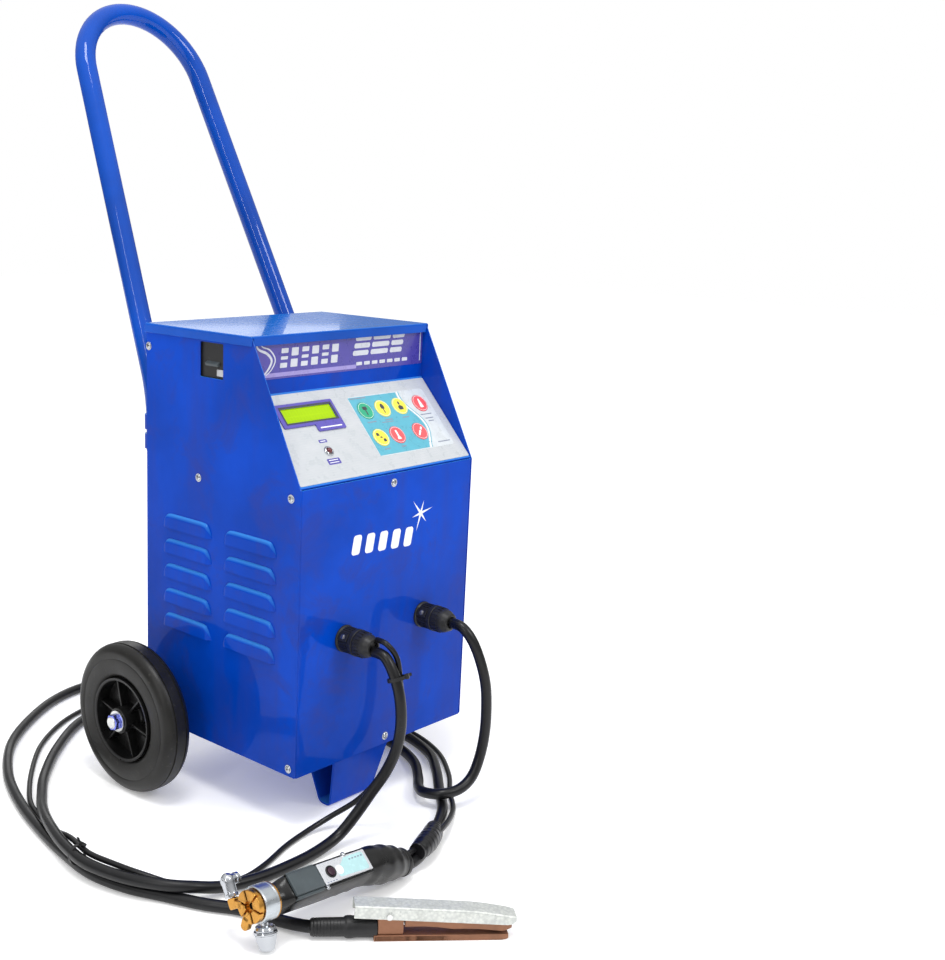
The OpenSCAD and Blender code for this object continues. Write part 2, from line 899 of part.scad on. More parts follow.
// Flat copper bars from the secondary coil to the two front glands
module busbars() {
    bar = [20, 5];
    coil_front_y = core_at[1] - core_size[1] / 2 - window_size[0];
    bar_z = core_at[2] + 114;
    color("peru")
        for (x = gland_xs) {
            inner_x = cabinet_shift + sign(x - cabinet_shift) * 40;
            box(
                [min(x, inner_x) - bar[0] / 2, coil_front_y - 20, bar_z - bar[1] / 2],
                [max(x, inner_x) + bar[0] / 2, coil_front_y - 1, bar_z + bar[1] / 2]
            );
            box(
                [x - bar[0] / 2, front_y + 10, bar_z - bar[1] / 2],
                [x + bar[0] / 2, coil_front_y - 1, bar_z + bar[1] / 2]
            );
            box(
                [x - bar[0] / 2, front_y + 10, bar_z],
                [x + bar[0] / 2, front_y + 10 + bar[1], gland_z + 12]
            );
        }
}

module control_board() {
    board = [186, 112, 1.6];
    board_place = [63, 70];
    post_h = 26;
    post_inset = 6;
    chip = [30, 24, 8.5];
    chip_pitch = 60;
    board_top = -sheet_t - post_h;
    color("seagreen")
        on_facia(board_place) {
            translate([-board[0] / 2, -board[1] / 2, board_top - board[2]])
                cube(board);
            for (x = [-1, 1], v = [-1, 1])
                translate([x * (board[0] / 2 - post_inset), v * (board[1] / 2 - post_inset), board_top])
                    cylinder(h = post_h, r = 3);
            for (k = [-1:1])
                translate([k * chip_pitch - chip[0] / 2, -chip[1] / 2, board_top - board[2] - chip[2] + 0.5])
                    cube(chip);
        }
}

// Gun's frame: +X from the collet's face along the grip, turned about it by roll
module in_gun(roll) {
    translate(gun_at)
        rotate([0, gun_pitch, gun_yaw])
            rotate([roll, 0, 0])
                children();
}

// Cross-sections of the gun's body: place along the gun, half width, half height, sideways shift, rise
gun_sections = [
    [30, 14, 14, 0, 0], [38, 15, 16, 0, 0], [46, 16, 20, 0, 0], [100, 16.5, 22.5, 0, 0], [164, 17.5, 22.5, 0, 0],
    [180, 20, 24, -1, -1], [200, 21, 23.5, -3, -4], [220, 18.5, 20, -5, -6], [236, 15.5, 16, -7, -9],
    [gun_len, 12.5, 13.5, -8, -10]
];

function section_ring(s, sides) =
    let (power = 0.45)
    [
        for (k = [0:sides - 1])
            let (c = cos(360 * k / sides), q = sin(360 * k / sides))
            [s[0], s[3] + s[1] * sign(c) * pow(abs(c), power), s[4] + s[2] * sign(q) * pow(abs(q), power)]
    ];

module gun_body() {
    sides = 32;
    n = len(gun_sections);
    ring_points = [for (s = gun_sections) each section_ring(s, sides)];
    walls = [
        for (i = [0:n - 2], k = [0:sides - 1])
            let (a = i * sides + k, b = i * sides + (k + 1) % sides)
            [a, a + sides, b + sides, b]
    ];
    first_cap = [for (k = [0:sides - 1]) k];
    last_cap = [for (k = [sides - 1:-1:0]) (n - 1) * sides + k];
    color("#202024")
        in_gun(gun_roll)
            difference() {
                polyhedron(ring_points, concat([first_cap, last_cap], walls));
                translate([cover_from, -25, gun_top - 3])
                    cube([label_to - cover_from, 50, 20]);
                translate([label_from + 15, 0, gun_top - 12])
                    cylinder(h = 20, r = button_d / 2 + 0.4);
            }
}

module gun_cover() {
    color("slategray")
        in_gun(gun_roll)
            translate([cover_from, -label_half_w, gun_top - 3])
                cube([label_from - cover_from - 0.5, 2 * label_half_w, 4]);
}

module gun_label() {
    color("gainsboro")
        in_gun(gun_roll)
            difference() {
                translate([label_from, -label_half_w, gun_top - 3])
                    cube([label_to - label_from, 2 * label_half_w, 3.6]);
                translate([label_from + 15, 0, gun_top - 12])
                    cylinder(h = 20, r = button_d / 2 + 0.3);
            }
}

module gun_button() {
    color("#2a1020")
        in_gun(gun_roll)
            translate([label_from + 15, 0, gun_top - 7])
                cylinder(h = 10, r = button_d / 2);
}

// Face of the collet, with its radial slots and its two ears
module head_face(r) {
    slot_w = 1.6;
    difference() {
        union() {
            circle(r + 0.5);
            translate([ear_y, 0])
                rotate(-lever_lean)
                    square(ear_w, center = true);
            translate([12, -4])
                square([11, 8]);
            rotate(27)
                translate([-5, -29])
                    square([10, 25]);
        }
        for (k = [0:2])
            rotate(k * 60 + 15)
                square([2 * r - 5, slot_w], center = true);
    }
}

// Split brass collet with radial slots, a centre hole and two clamping ears
module gun_head() {
    face_t = 7.5;
    bore_r = 3.5;
    color("goldenrod")
        in_gun(head_roll)
            difference() {
                union() {
                    plate_yz(0, face_t)
                        head_face(head_r);
                    x_cylinder(face_t - eps, 28, head_r);
                }
                x_cylinder(-1, 26, bore_r);
                at_lever()
                    translate([0, 0, -6])
                        cylinder(h = 16, r = screw_r + hub_play);
                translate([knob_place, 0, -head_r - 1])
                    cylinder(h = 6, r = screw_r + 0.3);
            }
}

module gun_nut() {
    color("silver")
        in_gun(head_roll)
            difference() {
                x_cylinder(8, 30, gun_nut_d / 2);
                x_cylinder(7, 28, head_r);
                translate([knob_place, 0, -gun_nut_d])
                    cylinder(h = gun_nut_d, r = screw_r + hub_play);
            }
}

// Frame of the clamping screw in the collet's ear, +Z along the screw
module at_lever() {
    translate([3.75, ear_y, 0])
        rotate([-lever_lean, 0, 0])
            children();
}

// Elbow lever: a screw in the ear, a shank on it and an arm across its top
module gun_lever() {
    shank_r = 8;
    corner_z = 24.5;
    arm_r = 5.8;
    arm_to = 15;
    color("silver")
        in_gun(head_roll)
            at_lever() {
                translate([0, 0, -4])
                    cylinder(h = 12, r = screw_r);
                translate([0, 0, ear_w / 2 + 0.5])
                    cylinder(h = corner_z - ear_w / 2 - 0.5, r = shank_r);
                translate([0, 0, corner_z])
                    sphere(r = shank_r);
                translate([0, 0, corner_z])
                    x_cylinder(0, arm_to, arm_r);
            }
}

// Tapered knob screwed into the nut from below; its tip stands on the floor
module gun_knob() {
    neck_r = 5;
    reach = 50;
    color("silver")
        in_gun(head_roll)
            translate([knob_place, 0, 0])
                mirror([0, 0, 1]) {
                    translate([0, 0, gun_nut_d / 2 - 3])
                        cylinder(h = 4, r = screw_r);
                    translate([0, 0, gun_nut_d / 2 + 0.3])
                        cylinder(h = 5, r = neck_r);
                    translate([0, 0, gun_nut_d / 2 + 4])
                        cylinder(h = 8, r1 = 10.5, r2 = 13);
                    translate([0, 0, gun_nut_d / 2 + 12])
                        cylinder(h = reach - gun_nut_d / 2 - 12, r1 = 13, r2 = 8);
                }
}

module in_clamp() {
    translate(clamp_at)
        rotate([0, 0, clamp_turn])
            children();
}

// Jaw's frame: origin on the hinge pin, +X to the tip
module in_jaw() {
    in_clamp()
        translate([clamp_pin_at[0], 0, clamp_pin_at[1]])
            rotate([0, clamp_tilt, 0])
                children();
}

module clamp_channel() {
    skin = 2;
    web_z = 14;
    nose_drop = 5;
    half = clamp_w / 2;
    outline = [
        [-clamp_tail, 0],
        [clamp_nose - 6, 0],
        [clamp_nose, 4],
        [clamp_nose, web_z - nose_drop],
        [clamp_nose - 45, web_z],
        [-clamp_tail, web_z]
    ];
    room = [
        [-clamp_tail - 1, -1],
        [clamp_nose + 1, -1],
        [clamp_nose + 1, web_z - nose_drop - skin],
        [clamp_nose - 45, web_z - skin],
        [-clamp_tail - 1, web_z - skin]
    ];
    color("lightgray")
        in_jaw()
            difference() {
                translate([0, half, 0])
                    rotate([90, 0, 0])
                        linear_extrude(clamp_w)
                            polygon(outline);
                translate([0, half - skin, 0])
                    rotate([90, 0, 0])
                        linear_extrude(clamp_w - 2 * skin)
                            polygon(room);
                translate([0, 0, 4])
                    y_cylinder(-half - 1, half + 1, clamp_pin_r + hub_play);
            }
}

// Copper strip along the underside of the channel
module clamp_liner() {
    color("peru")
        in_jaw()
            box([18, -9.5, -liner_t], [clamp_nose - 4, 9.5, -0.2]);
}

module clamp_lower_jaw() {
    color("peru")
        in_clamp()
            box([bar_from, -11, 0], [clamp_len - 8, 11, jaw_t]);
}

module clamp_block() {
    pin_z = clamp_pin_at[1] + 4 * cos(clamp_tilt);
    pin_x = clamp_pin_at[0] + 4 * sin(clamp_tilt);
    color("darkgoldenrod")
        in_clamp()
            difference() {
                box([sleeve_to + 0.2, -9, jaw_t], [100, 9, pin_z + 5]);
                translate([pin_x, 0, pin_z])
                    y_cylinder(-20, 20, clamp_pin_r);
            }
}

module clamp_pin() {
    color("silver")
        in_jaw()
            translate([0, 0, 4])
                y_cylinder(-clamp_w / 2 - 2, clamp_w / 2 + 2, clamp_pin_r);
}

// Coil spring between the sleeve and the channel's tail
module clamp_spring() {
    turns = 4;
    steps = 12;
    r = 4.5;
    from_z = 24.3;
    height = 14.2;
    path = [
        for (k = [0:turns * steps])
            [57 + r * cos(360 * k / steps), r * sin(360 * k / steps), from_z + height * k / (turns * steps)]
    ];
    color("silver")
        in_clamp()
            tube_along(path, 0.7, 6, [0, 0, 1]);
}

module clamp_sleeve() {
    color("#161616")
        in_clamp()
            difference() {
                translate([0, 0, 12]) {
                    x_cylinder(0, 40, 10);
                    x_cylinder(38, 46, 12);
                    x_cylinder(44, sleeve_to, 11.5);
                }
                box([bar_from - 0.1, -12, -1], [sleeve_to + 2, 12, jaw_t + 0.1]);
            }
}

module gun_cable() {
    color("#1c1c1c")
        cable(gun_route, cable_d);
}

module control_cable() {
    color("#1c1c1c")
        cable(control_route, control_d);
}

module ground_cable() {
    color("#1c1c1c")
        cable(ground_route, cable_d);
}

// Sleeve that binds the two gun cables behind the grip
module cable_sleeve() {
    radii = [10, 12.5, 13, 10];
    color("#1c1c1c")
        tube_along(sleeve_route, radii, 12, [0, 0, 1]);
}

side_panel_left();
side_panel_right();
front_panel();
control_panel();
panel_film();
keypad_film();
top_cover();
rear_panel();
base_plate();
foot();
handle_tube();
handle_saddles();
axle();
axle_mounts();
axle_nuts();
tyre(wheel_left_x);  // tyre_left
tyre(wheel_right_x);  // tyre_right
hub(wheel_left_x);  // hub_left
hub(wheel_right_x);  // hub_right
cabinet_screws();
lcd_module();
lcd_bezel();
lcd_window();
lamp_ring();
lamp_lens();
key(0);  // key_1
key(1);  // key_2
key(2);  // key_3
key(3);  // key_4
key(4);  // key_5
key(5);  // key_6
key(6);  // key_7
cable_glands();
gland_nuts();
breaker_body();
breaker_toggle();
transformer_core();
primary_coil();
secondary_coil();
busbars();
control_board();
gun_body();
gun_cover();
gun_label();
gun_button();
gun_head();
gun_nut();
gun_lever();
gun_knob();
clamp_channel();
clamp_liner();
clamp_lower_jaw();
clamp_block();
clamp_pin();
clamp_spring();
clamp_sleeve();
gun_cable();
control_cable();
ground_cable();
cable_sleeve();
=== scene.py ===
"""Looks of the spot welder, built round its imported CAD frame."""

import json
from math import atan2, copysign, cos, degrees, exp, hypot, pi, radians, sin, tan
import bmesh
import bpy
from mathutils import Matrix, Vector, noise
from mathutils.geometry import tessellate_polygon


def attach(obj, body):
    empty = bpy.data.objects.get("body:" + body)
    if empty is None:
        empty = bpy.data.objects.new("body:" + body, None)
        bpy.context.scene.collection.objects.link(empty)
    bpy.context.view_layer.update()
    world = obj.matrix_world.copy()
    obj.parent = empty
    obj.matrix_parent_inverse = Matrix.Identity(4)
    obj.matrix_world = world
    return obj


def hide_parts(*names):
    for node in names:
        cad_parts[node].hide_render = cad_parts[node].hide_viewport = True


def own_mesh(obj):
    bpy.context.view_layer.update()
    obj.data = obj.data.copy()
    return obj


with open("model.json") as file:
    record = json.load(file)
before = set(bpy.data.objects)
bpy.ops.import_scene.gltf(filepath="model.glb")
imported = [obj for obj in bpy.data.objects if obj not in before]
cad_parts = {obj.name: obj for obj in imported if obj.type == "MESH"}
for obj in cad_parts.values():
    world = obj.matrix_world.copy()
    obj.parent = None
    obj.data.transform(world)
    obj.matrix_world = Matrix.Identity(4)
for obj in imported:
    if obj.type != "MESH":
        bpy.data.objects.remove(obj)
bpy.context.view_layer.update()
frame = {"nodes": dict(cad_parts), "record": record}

scene = bpy.context.scene
MM = 0.001

# ---------------------------------------------------------------- camera


def add_camera():
    yaw, pitch, roll = (radians(a) for a in (46.217, 12.551, -1.525))
    forward = Vector((sin(yaw) * cos(pitch), cos(yaw) * cos(pitch), -sin(pitch)))
    level = Vector((cos(yaw), -sin(yaw), 0))
    down = forward.cross(level)
    right = cos(roll) * level + sin(roll) * down
    up = sin(roll) * level - cos(roll) * down
    data = bpy.data.cameras.new("camera")
    data.sensor_width = 36
    data.lens = 50.653
    data.shift_x = 0.1475
    data.shift_y = 0.01285
    camera = bpy.data.objects.new("camera", data)
    camera.matrix_world = Matrix((
        (right.x, up.x, -forward.x, -1.2216),
        (right.y, up.y, -forward.y, -1.1298),
        (right.z, up.z, -forward.z, 0.7826),
        (0, 0, 0, 1),
    ))
    scene.collection.objects.link(camera)
    scene.camera = camera


add_camera()

# ---------------------------------------------------------------- materials


class Look:
    """A node material with short ways to add and join nodes."""

    def __init__(self, name):
        self.material = bpy.data.materials.new(name)
        self.material.use_nodes = True
        self.tree = self.material.node_tree
        self.shader = self.tree.nodes["Principled BSDF"]
        self.place = self.add("ShaderNodeTexCoord").outputs["Object"]

    def add(self, kind, **settings):
        node = self.tree.nodes.new(kind)
        for key, value in settings.items():
            setattr(node, key, value)
        return node

    def put(self, socket, value):
        if isinstance(value, bpy.types.NodeSocket):
            self.tree.links.new(value, socket)
        else:
            socket.default_value = value

    def math(self, operation, a, b=0.0):
        node = self.add("ShaderNodeMath", operation=operation)
        for socket, value in zip(node.inputs, (a, b)):
            self.put(socket, value)
        return node.outputs[0]

    def noise(self, scale, detail=3.0, roughness=0.55, place=None, distortion=0.0):
        node = self.add("ShaderNodeTexNoise")
        self.put(node.inputs["Vector"], place or self.place)
        for key, value in (("Scale", scale), ("Detail", detail), ("Roughness", roughness),
                           ("Distortion", distortion)):
            self.put(node.inputs[key], value)
        return node.outputs["Fac"]

    def range(self, value, low, high, to_low, to_high):
        node = self.add("ShaderNodeMapRange")
        for socket, item in zip(node.inputs, (value, low, high, to_low, to_high)):
            self.put(socket, item)
        return node.outputs["Result"]

    def mix(self, factor, a, b):
        node = self.add("ShaderNodeMix", data_type="RGBA")
        self.put(node.inputs[0], factor)
        self.put(node.inputs[6], a)
        self.put(node.inputs[7], b)
        return node.outputs[2]

    def bump(self, height, strength, distance):
        node = self.add("ShaderNodeBump")
        self.put(node.inputs["Strength"], strength)
        self.put(node.inputs["Distance"], distance)
        self.put(node.inputs["Height"], height)
        if self.shader.inputs["Normal"].is_linked:
            self.put(node.inputs["Normal"], self.shader.inputs["Normal"].links[0].from_socket)
        self.put(self.shader.inputs["Normal"], node.outputs["Normal"])

    def stretched(self, x, y, z):
        node = self.add("ShaderNodeMapping")
        self.put(node.inputs["Vector"], self.place)
        self.put(node.inputs["Scale"], (x, y, z))
        return node.outputs["Vector"]

    def set(self, **values):
        for key, value in values.items():
            self.put(self.shader.inputs[key.replace("_", " ")], value)


def rgba(colour):
    return (*colour, 1.0)


def shaded(colour, factor):
    return rgba(tuple(min(1.0, c * factor) for c in colour))


def paint(name, colour, streak=0.7, coat=0.16, gloss=0.30, top=None, painted_sheen_from=0.5):
    """Gloss powder coat: orange peel, cloudy marks, faint upright streaks, and a painted sky highlight that
    makes it paler where it faces up.
    """
    look = Look(name)
    cloud = look.noise(7, 4)
    fine = look.noise(60, 5, 0.6)
    streaks = look.noise(16, 4, 0.6, look.stretched(1, 1, 0.12))
    base = look.mix(look.range(cloud, 0.35, 0.65, 0, 1), shaded(colour, 0.80), shaded(colour, 1.12))
    violet = rgba((colour[0] + 0.018, colour[1] * 0.80, colour[2] * 0.66))
    base = look.mix(look.range(streaks, 0.50, 0.72, 0, streak), base, violet)
    base = look.mix(look.range(look.noise(11, 6, 0.7, distortion=0.6), 0.50, 0.64, 0, streak), base, violet)
    base = look.mix(look.range(fine, 0.66, 0.80, 0, 0.12), base, rgba((0.05, 0.09, 0.30)))
    # painted highlight: faces turned up blend towards the lighter top colour, standing in for the sky's
    # reflection on the gloss
    if top:
        facing = look.add("ShaderNodeSeparateXYZ")
        look.put(facing.inputs[0], look.add("ShaderNodeNewGeometry").outputs["Normal"])
        base = look.mix(look.range(facing.outputs["Z"], painted_sheen_from, 0.95, 0, 1), base, rgba(top))
    look.set(Base_Color=base, Roughness=look.range(fine, 0.35, 0.75, gloss, gloss + 0.07))
    look.set(IOR=1.5, Specular_IOR_Level=0.02, Coat_Weight=coat, Coat_Roughness=0.04, Coat_IOR=1.5)
    look.bump(look.noise(750, 2), 0.04, 0.0002)
    look.bump(look.noise(24, 2), 0.05, 0.0008)
    return look.material


def metal(name, colour, roughness, grain=(1, 1, 1), grain_scale=300, stain=(0.3, 0.3, 0.3), stains=0.25,
          bump=0.15, metallic=1.0):
    """Bare or plated metal with brushed grain and soft stains."""
    look = Look(name)
    cloud = look.noise(35, 5, 0.6)
    lines = look.noise(grain_scale, 3, 0.6, look.stretched(*grain))
    base = look.mix(look.range(cloud, 0.5, 0.75, 0, stains), rgba(colour), rgba(stain))
    look.set(Base_Color=base, Metallic=metallic)
    look.set(Roughness=look.range(lines, 0.3, 0.7, roughness * 0.75, min(1.0, roughness * 1.4)))
    look.bump(lines, bump, 0.0002)
    return look.material


def moulded(name, colour, roughness, scale=900, grit=0.25, wear=(0.10, 0.10, 0.10), worn=0.25,
            cloud_scale=25):
    """Moulded plastic or rubber with a fine grained skin and scuffs."""
    look = Look(name)
    cloud = look.noise(cloud_scale, 5, 0.6)
    base = look.mix(look.range(cloud, 0.35, 0.7, 0, 1), shaded(colour, 0.8), shaded(colour, 1.15))
    base = look.mix(look.range(look.noise(120, 4, 0.7), 0.60, 0.78, 0, worn), base, rgba(wear))
    smooth_to, rough_to = roughness - 0.08, min(1.0, roughness + 0.08)
    look.set(Base_Color=base, Roughness=look.range(cloud, 0.3, 0.7, smooth_to, rough_to))
    look.set(Specular_IOR_Level=0.35)
    look.bump(look.noise(scale, 2), grit, 0.0002)
    return look.material


def printed(name, colour, roughness=0.3, tint=0.06):
    """Printed film or dome: an even ink with a faint mottle and a satin skin."""
    look = Look(name)
    mottle = look.range(look.noise(90, 4), 0.35, 0.7, 0, 1)
    base = look.mix(mottle, shaded(colour, 1 - tint), shaded(colour, 1 + tint))
    look.set(Base_Color=base, Roughness=look.range(mottle, 0, 1, roughness - 0.05, roughness + 0.07))
    look.set(Coat_Weight=0.3, Coat_Roughness=0.15)
    look.bump(look.noise(1200, 2), 0.06, 0.0001)
    return look.material


BLUE = (0.0002, 0.054, 0.47)
HANDLE_BLUE = (0.0002, 0.060, 0.40)

# the cabinet paint's up-facing colour is a painted highlight: louvre shoulders and upper faces turn paler
# as if lit from above
blue = paint("blue_paint", BLUE, top=(0.045, 0.26, 0.72), painted_sheen_from=0.2)
handle_blue = paint("handle_paint", HANDLE_BLUE, 0.10, 0.60, 0.20)
# the lid paint's last colour is a painted sheen: its top turns paler, standing in for the sky's reflection
lid_blue = paint("lid_paint", (0.002, 0.075, 0.46), 0.1, 0.35, 0.22, (0.008, 0.13, 0.49))
black = moulded("black_plastic", (0.014, 0.014, 0.015), 0.42)
grip_black = moulded("grip_black", (0.004, 0.004, 0.004), 0.30, 500, 0.25, (0.022, 0.018, 0.018), 0.3)
rubber = moulded("cable_rubber", (0.005, 0.005, 0.006), 0.34, 700, 0.22, (0.05, 0.05, 0.055), 0.2, 14)
tyre_rubber = moulded("tyre_rubber", (0.007, 0.0065, 0.0055), 0.42, 500, 0.35,
                      wear=(0.07, 0.065, 0.055), worn=0.45, cloud_scale=30)
hub_black = moulded("hub_black", (0.006, 0.006, 0.006), 0.33)
slate = moulded("grey_plastic", (0.064, 0.080, 0.088), 0.45)
light_plastic = moulded("light_plastic", (0.45, 0.46, 0.48), 0.4, 900, 0.15, (0.3, 0.3, 0.3))
zinc = metal("zinc_steel", (0.70, 0.71, 0.70), 0.30, (1, 1, 1), 400, (0.42, 0.42, 0.40), 0.35)
chrome = metal("chrome", (0.48, 0.50, 0.53), 0.15, (1, 1, 1), 200, (0.55, 0.55, 0.58), 0.3, 0.04)
blue_zinc = metal("blue_zinc", (0.20, 0.24, 0.80), 0.25, (1, 1, 1), 250, (0.35, 0.38, 0.55), 0.5, 0.1)
dark_steel = metal("dark_steel", (0.22, 0.22, 0.23), 0.42, (1, 1, 0.1), 250, (0.12, 0.10, 0.08), 0.4)
copper = metal("copper", (0.27, 0.125, 0.07), 0.38, (0.3, 1, 1), 260, (0.16, 0.08, 0.05), 0.6, 0.15, 0.6)
brass = metal("brass", (0.56, 0.28, 0.06), 0.27, (1, 1, 1), 120, (0.22, 0.10, 0.025), 0.6, 0.03)
satin_steel = metal("satin_steel", (0.50, 0.54, 0.57), 0.30, (0.2, 1, 1), 300,
                    stain=(0.36, 0.40, 0.44), stains=0.3, bump=0.05)
# painted shade: near-black for the inside of the collet's bore
bore_painted_shade = moulded("bore_painted_shade", (0.01, 0.008, 0.006), 0.7)

frame_looks = {
    "blue_paint": blue, "handle_paint": handle_blue, "zinc_steel": zinc, "chrome": chrome,
    "dark_steel": dark_steel, "tyre_rubber": tyre_rubber, "black_plastic": black, "grey_plastic": slate,
    "light_plastic": light_plastic, "copper": copper, "brass": brass, "cable_rubber": rubber,
    "white_film": printed("white_film", (0.72, 0.74, 0.77)),
    "keypad_print": printed("keypad_print", (0.13, 0.44, 0.58)),
    "display_green": printed("display_green", (0.52, 0.72, 0.03)),
    "circuit_board": printed("circuit_board", (0.02, 0.18, 0.07), 0.45),
    "purple_plastic": printed("purple_plastic", (0.09, 0.07, 0.40)),
    "lamp_red": printed("lamp_red", (0.11, 0.012, 0.015), 0.12),
    "key_green": printed("key_green", (0.01, 0.38, 0.20)),
    "key_yellow": printed("key_yellow", (0.86, 0.74, 0.06)),
    "key_red": printed("key_red", (0.80, 0.09, 0.10)),
    "label_silver": metal("label_silver", (0.80, 0.82, 0.86), 0.30, (1, 1, 1), 500, (0.6, 0.62, 0.7), 0.3),
    "button_dark": moulded("button_dark", (0.03, 0.008, 0.02), 0.35),
}

for part in frame["record"]["subparts"]:
    node_mesh = frame["nodes"][part["node"]].data
    node_mesh.materials.clear()
    node_mesh.materials.append(frame_looks[part["material_slot"]])

# ---------------------------------------------------------------- cords

GUN_ROUTE = [
    (-42, -80, 232), (-42, -98, 230), (-41, -112, 212), (-40, -122, 186), (-41, -127, 154),
    (-46, -126, 122), (-56, -119, 92), (-72, -109, 64), (-90, -101, 38), (-112, -95, 17),
    (-146, -95, 9), (-188, -97, 8), (-240, -94, 8), (-290, -84, 11), (-324, -73, 19),
    (-348, -52, 22), (-370, -10, 22), (-382, 44, 22), (-377, 92, 22), (-362, 145, 22),
    (-338, 200, 19), (-302, 256, 10), (-264, 306, 8), (-200, 370, 7.2), (-120, 428, 7.2),
    (-40, 448, 7.2), (30, 434, 7.2), (100, 390, 7.2), (158, 328, 7.2), (194, 250, 7.2),
    (206, 160, 7.2), (202, 75, 7.2), (178, 6, 7.2), (140, -40, 7.2), (98, -80, 7.2),
    (54, -122, 8), (10, -150, 9), (-36, -174, 13), (-76, -193, 13), (-107, -196, 12),
]
CONTROL_ROUTE = [
    (-38, -80, 247), (-38, -97, 245), (-30, -107, 228), (-29, -113, 200), (-29, -118, 160),
    (-34, -118, 130), (-42, -112, 100), (-48, -96, 68), (-58, -74, 38), (-84, -52, 16),
    (-118, -46, 6), (-160, -53, 4), (-212, -70, 4), (-252, -76, 4), (-292, -66, 5),
    (-326, -46, 12), (-350, -14, 21), (-364, 24, 25), (-369, 62, 25), (-360, 110, 23),
    (-350, 152, 12), (-342, 186, 5), (-331, 224, 4), (-314, 266, 4), (-266, 334, 4),
    (-200, 406, 4), (-120, 458, 4), (-40, 476, 4), (50, 458, 4), (128, 400, 4),
    (186, 330, 4), (216, 250, 4), (226, 160, 4), (222, 75, 4), (196, 4, 4),
    (150, -54, 4), (104, -94, 5), (58, -136, 7), (-22, -179, 22), (-107, -195, 25),
]
GROUND_ROUTE = [
    (108, -80, 237), (108, -98, 235), (112, -112, 220), (118, -122, 194), (123, -129, 162),
    (125, -131, 128), (124, -131, 94), (117, -130, 62), (103, -129, 38), (82, -125, 26),
    (60, -112, 22), (56, -88, 18), (72, -66, 13), (104, -38, 8), (140, 2, 8),
    (164, 60, 7.2), (172, 130, 7.2), (166, 200, 8), (154, 270, 9), (142, 330, 19),
    (126, 385, 23), (98, 440, 18), (50, 500, 8), (-15, 540, 8), (-90, 530, 7.2),
    (-170, 484, 7.2), (-240, 424, 7.2), (-296, 344, 7.2), (-332, 262, 7.2), (-356, 180, 7.2),
    (-370, 110, 7.2), (-376, 50, 7.2), (-366, -4, 7.2), (-346, -50, 7.2), (-326, -94, 7.2),
    (-304, -130, 7.2), (-292, -168, 7.2), (-284, -196, 9), (-278, -216, 12),
]


def smooth(points, steps):
    """The points of a smooth curve through given ones, as the CAD's cables have it."""
    points = [Vector(p) for p in points]
    last = len(points) - 1
    curve = []
    for i in range(last):
        p0, p1, p2, p3 = points[max(i - 1, 0)], points[i], points[i + 1], points[min(i + 2, last)]
        for s in range(steps):
            t = s / steps
            curve.append(0.5 * (2 * p1 + (p2 - p0) * t + (2 * p0 - 5 * p1 + 4 * p2 - p3) * t * t
                                + (3 * p1 - p0 - 3 * p2 + p3) * t ** 3))
    return curve + [points[last]]


def add_cord(name, node, route, diameter):
    path = smooth(route, 8)
    data = bpy.data.curves.new(name, "CURVE")
    data.dimensions = "3D"
    data.bevel_depth = diameter / 2 * MM
    data.bevel_resolution = 6
    data.use_fill_caps = True
    spline = data.splines.new("POLY")
    spline.points.add(len(path) - 1)
    for point, place in zip(spline.points, path):
        point.co = (*(place * MM), 1)
    spline.use_smooth = True
    data.materials.append(rubber)
    cord = bpy.data.objects.new(name, data)
    scene.collection.objects.link(cord)
    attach(cord, "welder")
    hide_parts(node)


add_cord("gun_lead", "gun_cable", GUN_ROUTE, 14)
add_cord("control_lead", "control_cable", CONTROL_ROUTE, 7)
add_cord("ground_lead", "ground_cable", GROUND_ROUTE, 14)

# ---------------------------------------------------------------- mesh kit, in millimetres


class Shape:
    """Vertices and faces in millimetres, with a material index for each face."""

    def __init__(self):
        self.verts = []
        self.faces = []
        self.looks = []

    def add(self, verts, faces):
        start = len(self.verts)
        self.verts += [Vector(v) for v in verts]
        self.faces += [tuple(start + i for i in face) for face in faces]
        self.looks += [0] * len(faces)
        return self

    def join(self, other, matrix=Matrix.Identity(4), look=None):
        start = len(self.verts)
        self.verts += [matrix @ v for v in other.verts]
        self.faces += [tuple(start + i for i in face) for face in other.faces]
        self.looks += other.looks if look is None else [look] * len(other.faces)
        return self

    def moved(self, matrix):
        return Shape().join(self, matrix)


def around(shape, part, count, start=0, matrix=Matrix.Identity(4), look=None):
    """Joins copies of a part to a shape, turned evenly about +X."""
    for k in range(count):
        shape.join(part, matrix @ turned(x=start + 360 / count * k), look)


def turned(x=0, y=0, z=0):
    """OpenSCAD's rotate([x, y, z])."""
    return (Matrix.Rotation(radians(z), 4, "Z") @ Matrix.Rotation(radians(y), 4, "Y")
            @ Matrix.Rotation(radians(x), 4, "X"))


def at(x, y, z):
    return Matrix.Translation((x, y, z))


def axes(x_axis, y_axis, origin=(0, 0, 0)):
    """A frame from its X and Y axes."""
    x_axis, y_axis = Vector(x_axis).normalized(), Vector(y_axis).normalized()
    z_axis = x_axis.cross(y_axis)
    rows = [(x_axis[i], y_axis[i], z_axis[i], origin[i]) for i in range(3)]
    return Matrix((*rows, (0, 0, 0, 1)))


YZ = axes((0, 1, 0), (0, 0, 1))
XZ = axes((1, 0, 0), (0, 0, 1))


def polar(radius, turn):
    return Vector((radius * cos(turn), radius * sin(turn)))


def circle(radius, sides, start=0.0):
    return [polar(radius, start + 2 * pi * k / sides) for k in range(sides)]


def dome(base, radius, rise, steps=8):
    """The rest of a lathe profile that closes over in a dome on base, after its rim."""
    arc = [(base + rise * sin(t), radius * cos(t)) for t in (pi / 2 * k / steps for k in range(1, steps))]
    return arc + [(base + rise, 0)]


def disc_at(place, radius, sides=48):
    return [p + Vector(place) for p in circle(radius, sides)]


def rectangle(x0, y0, x1, y1):
    return [Vector((x0, y0)), Vector((x1, y0)), Vector((x1, y1)), Vector((x0, y1))]


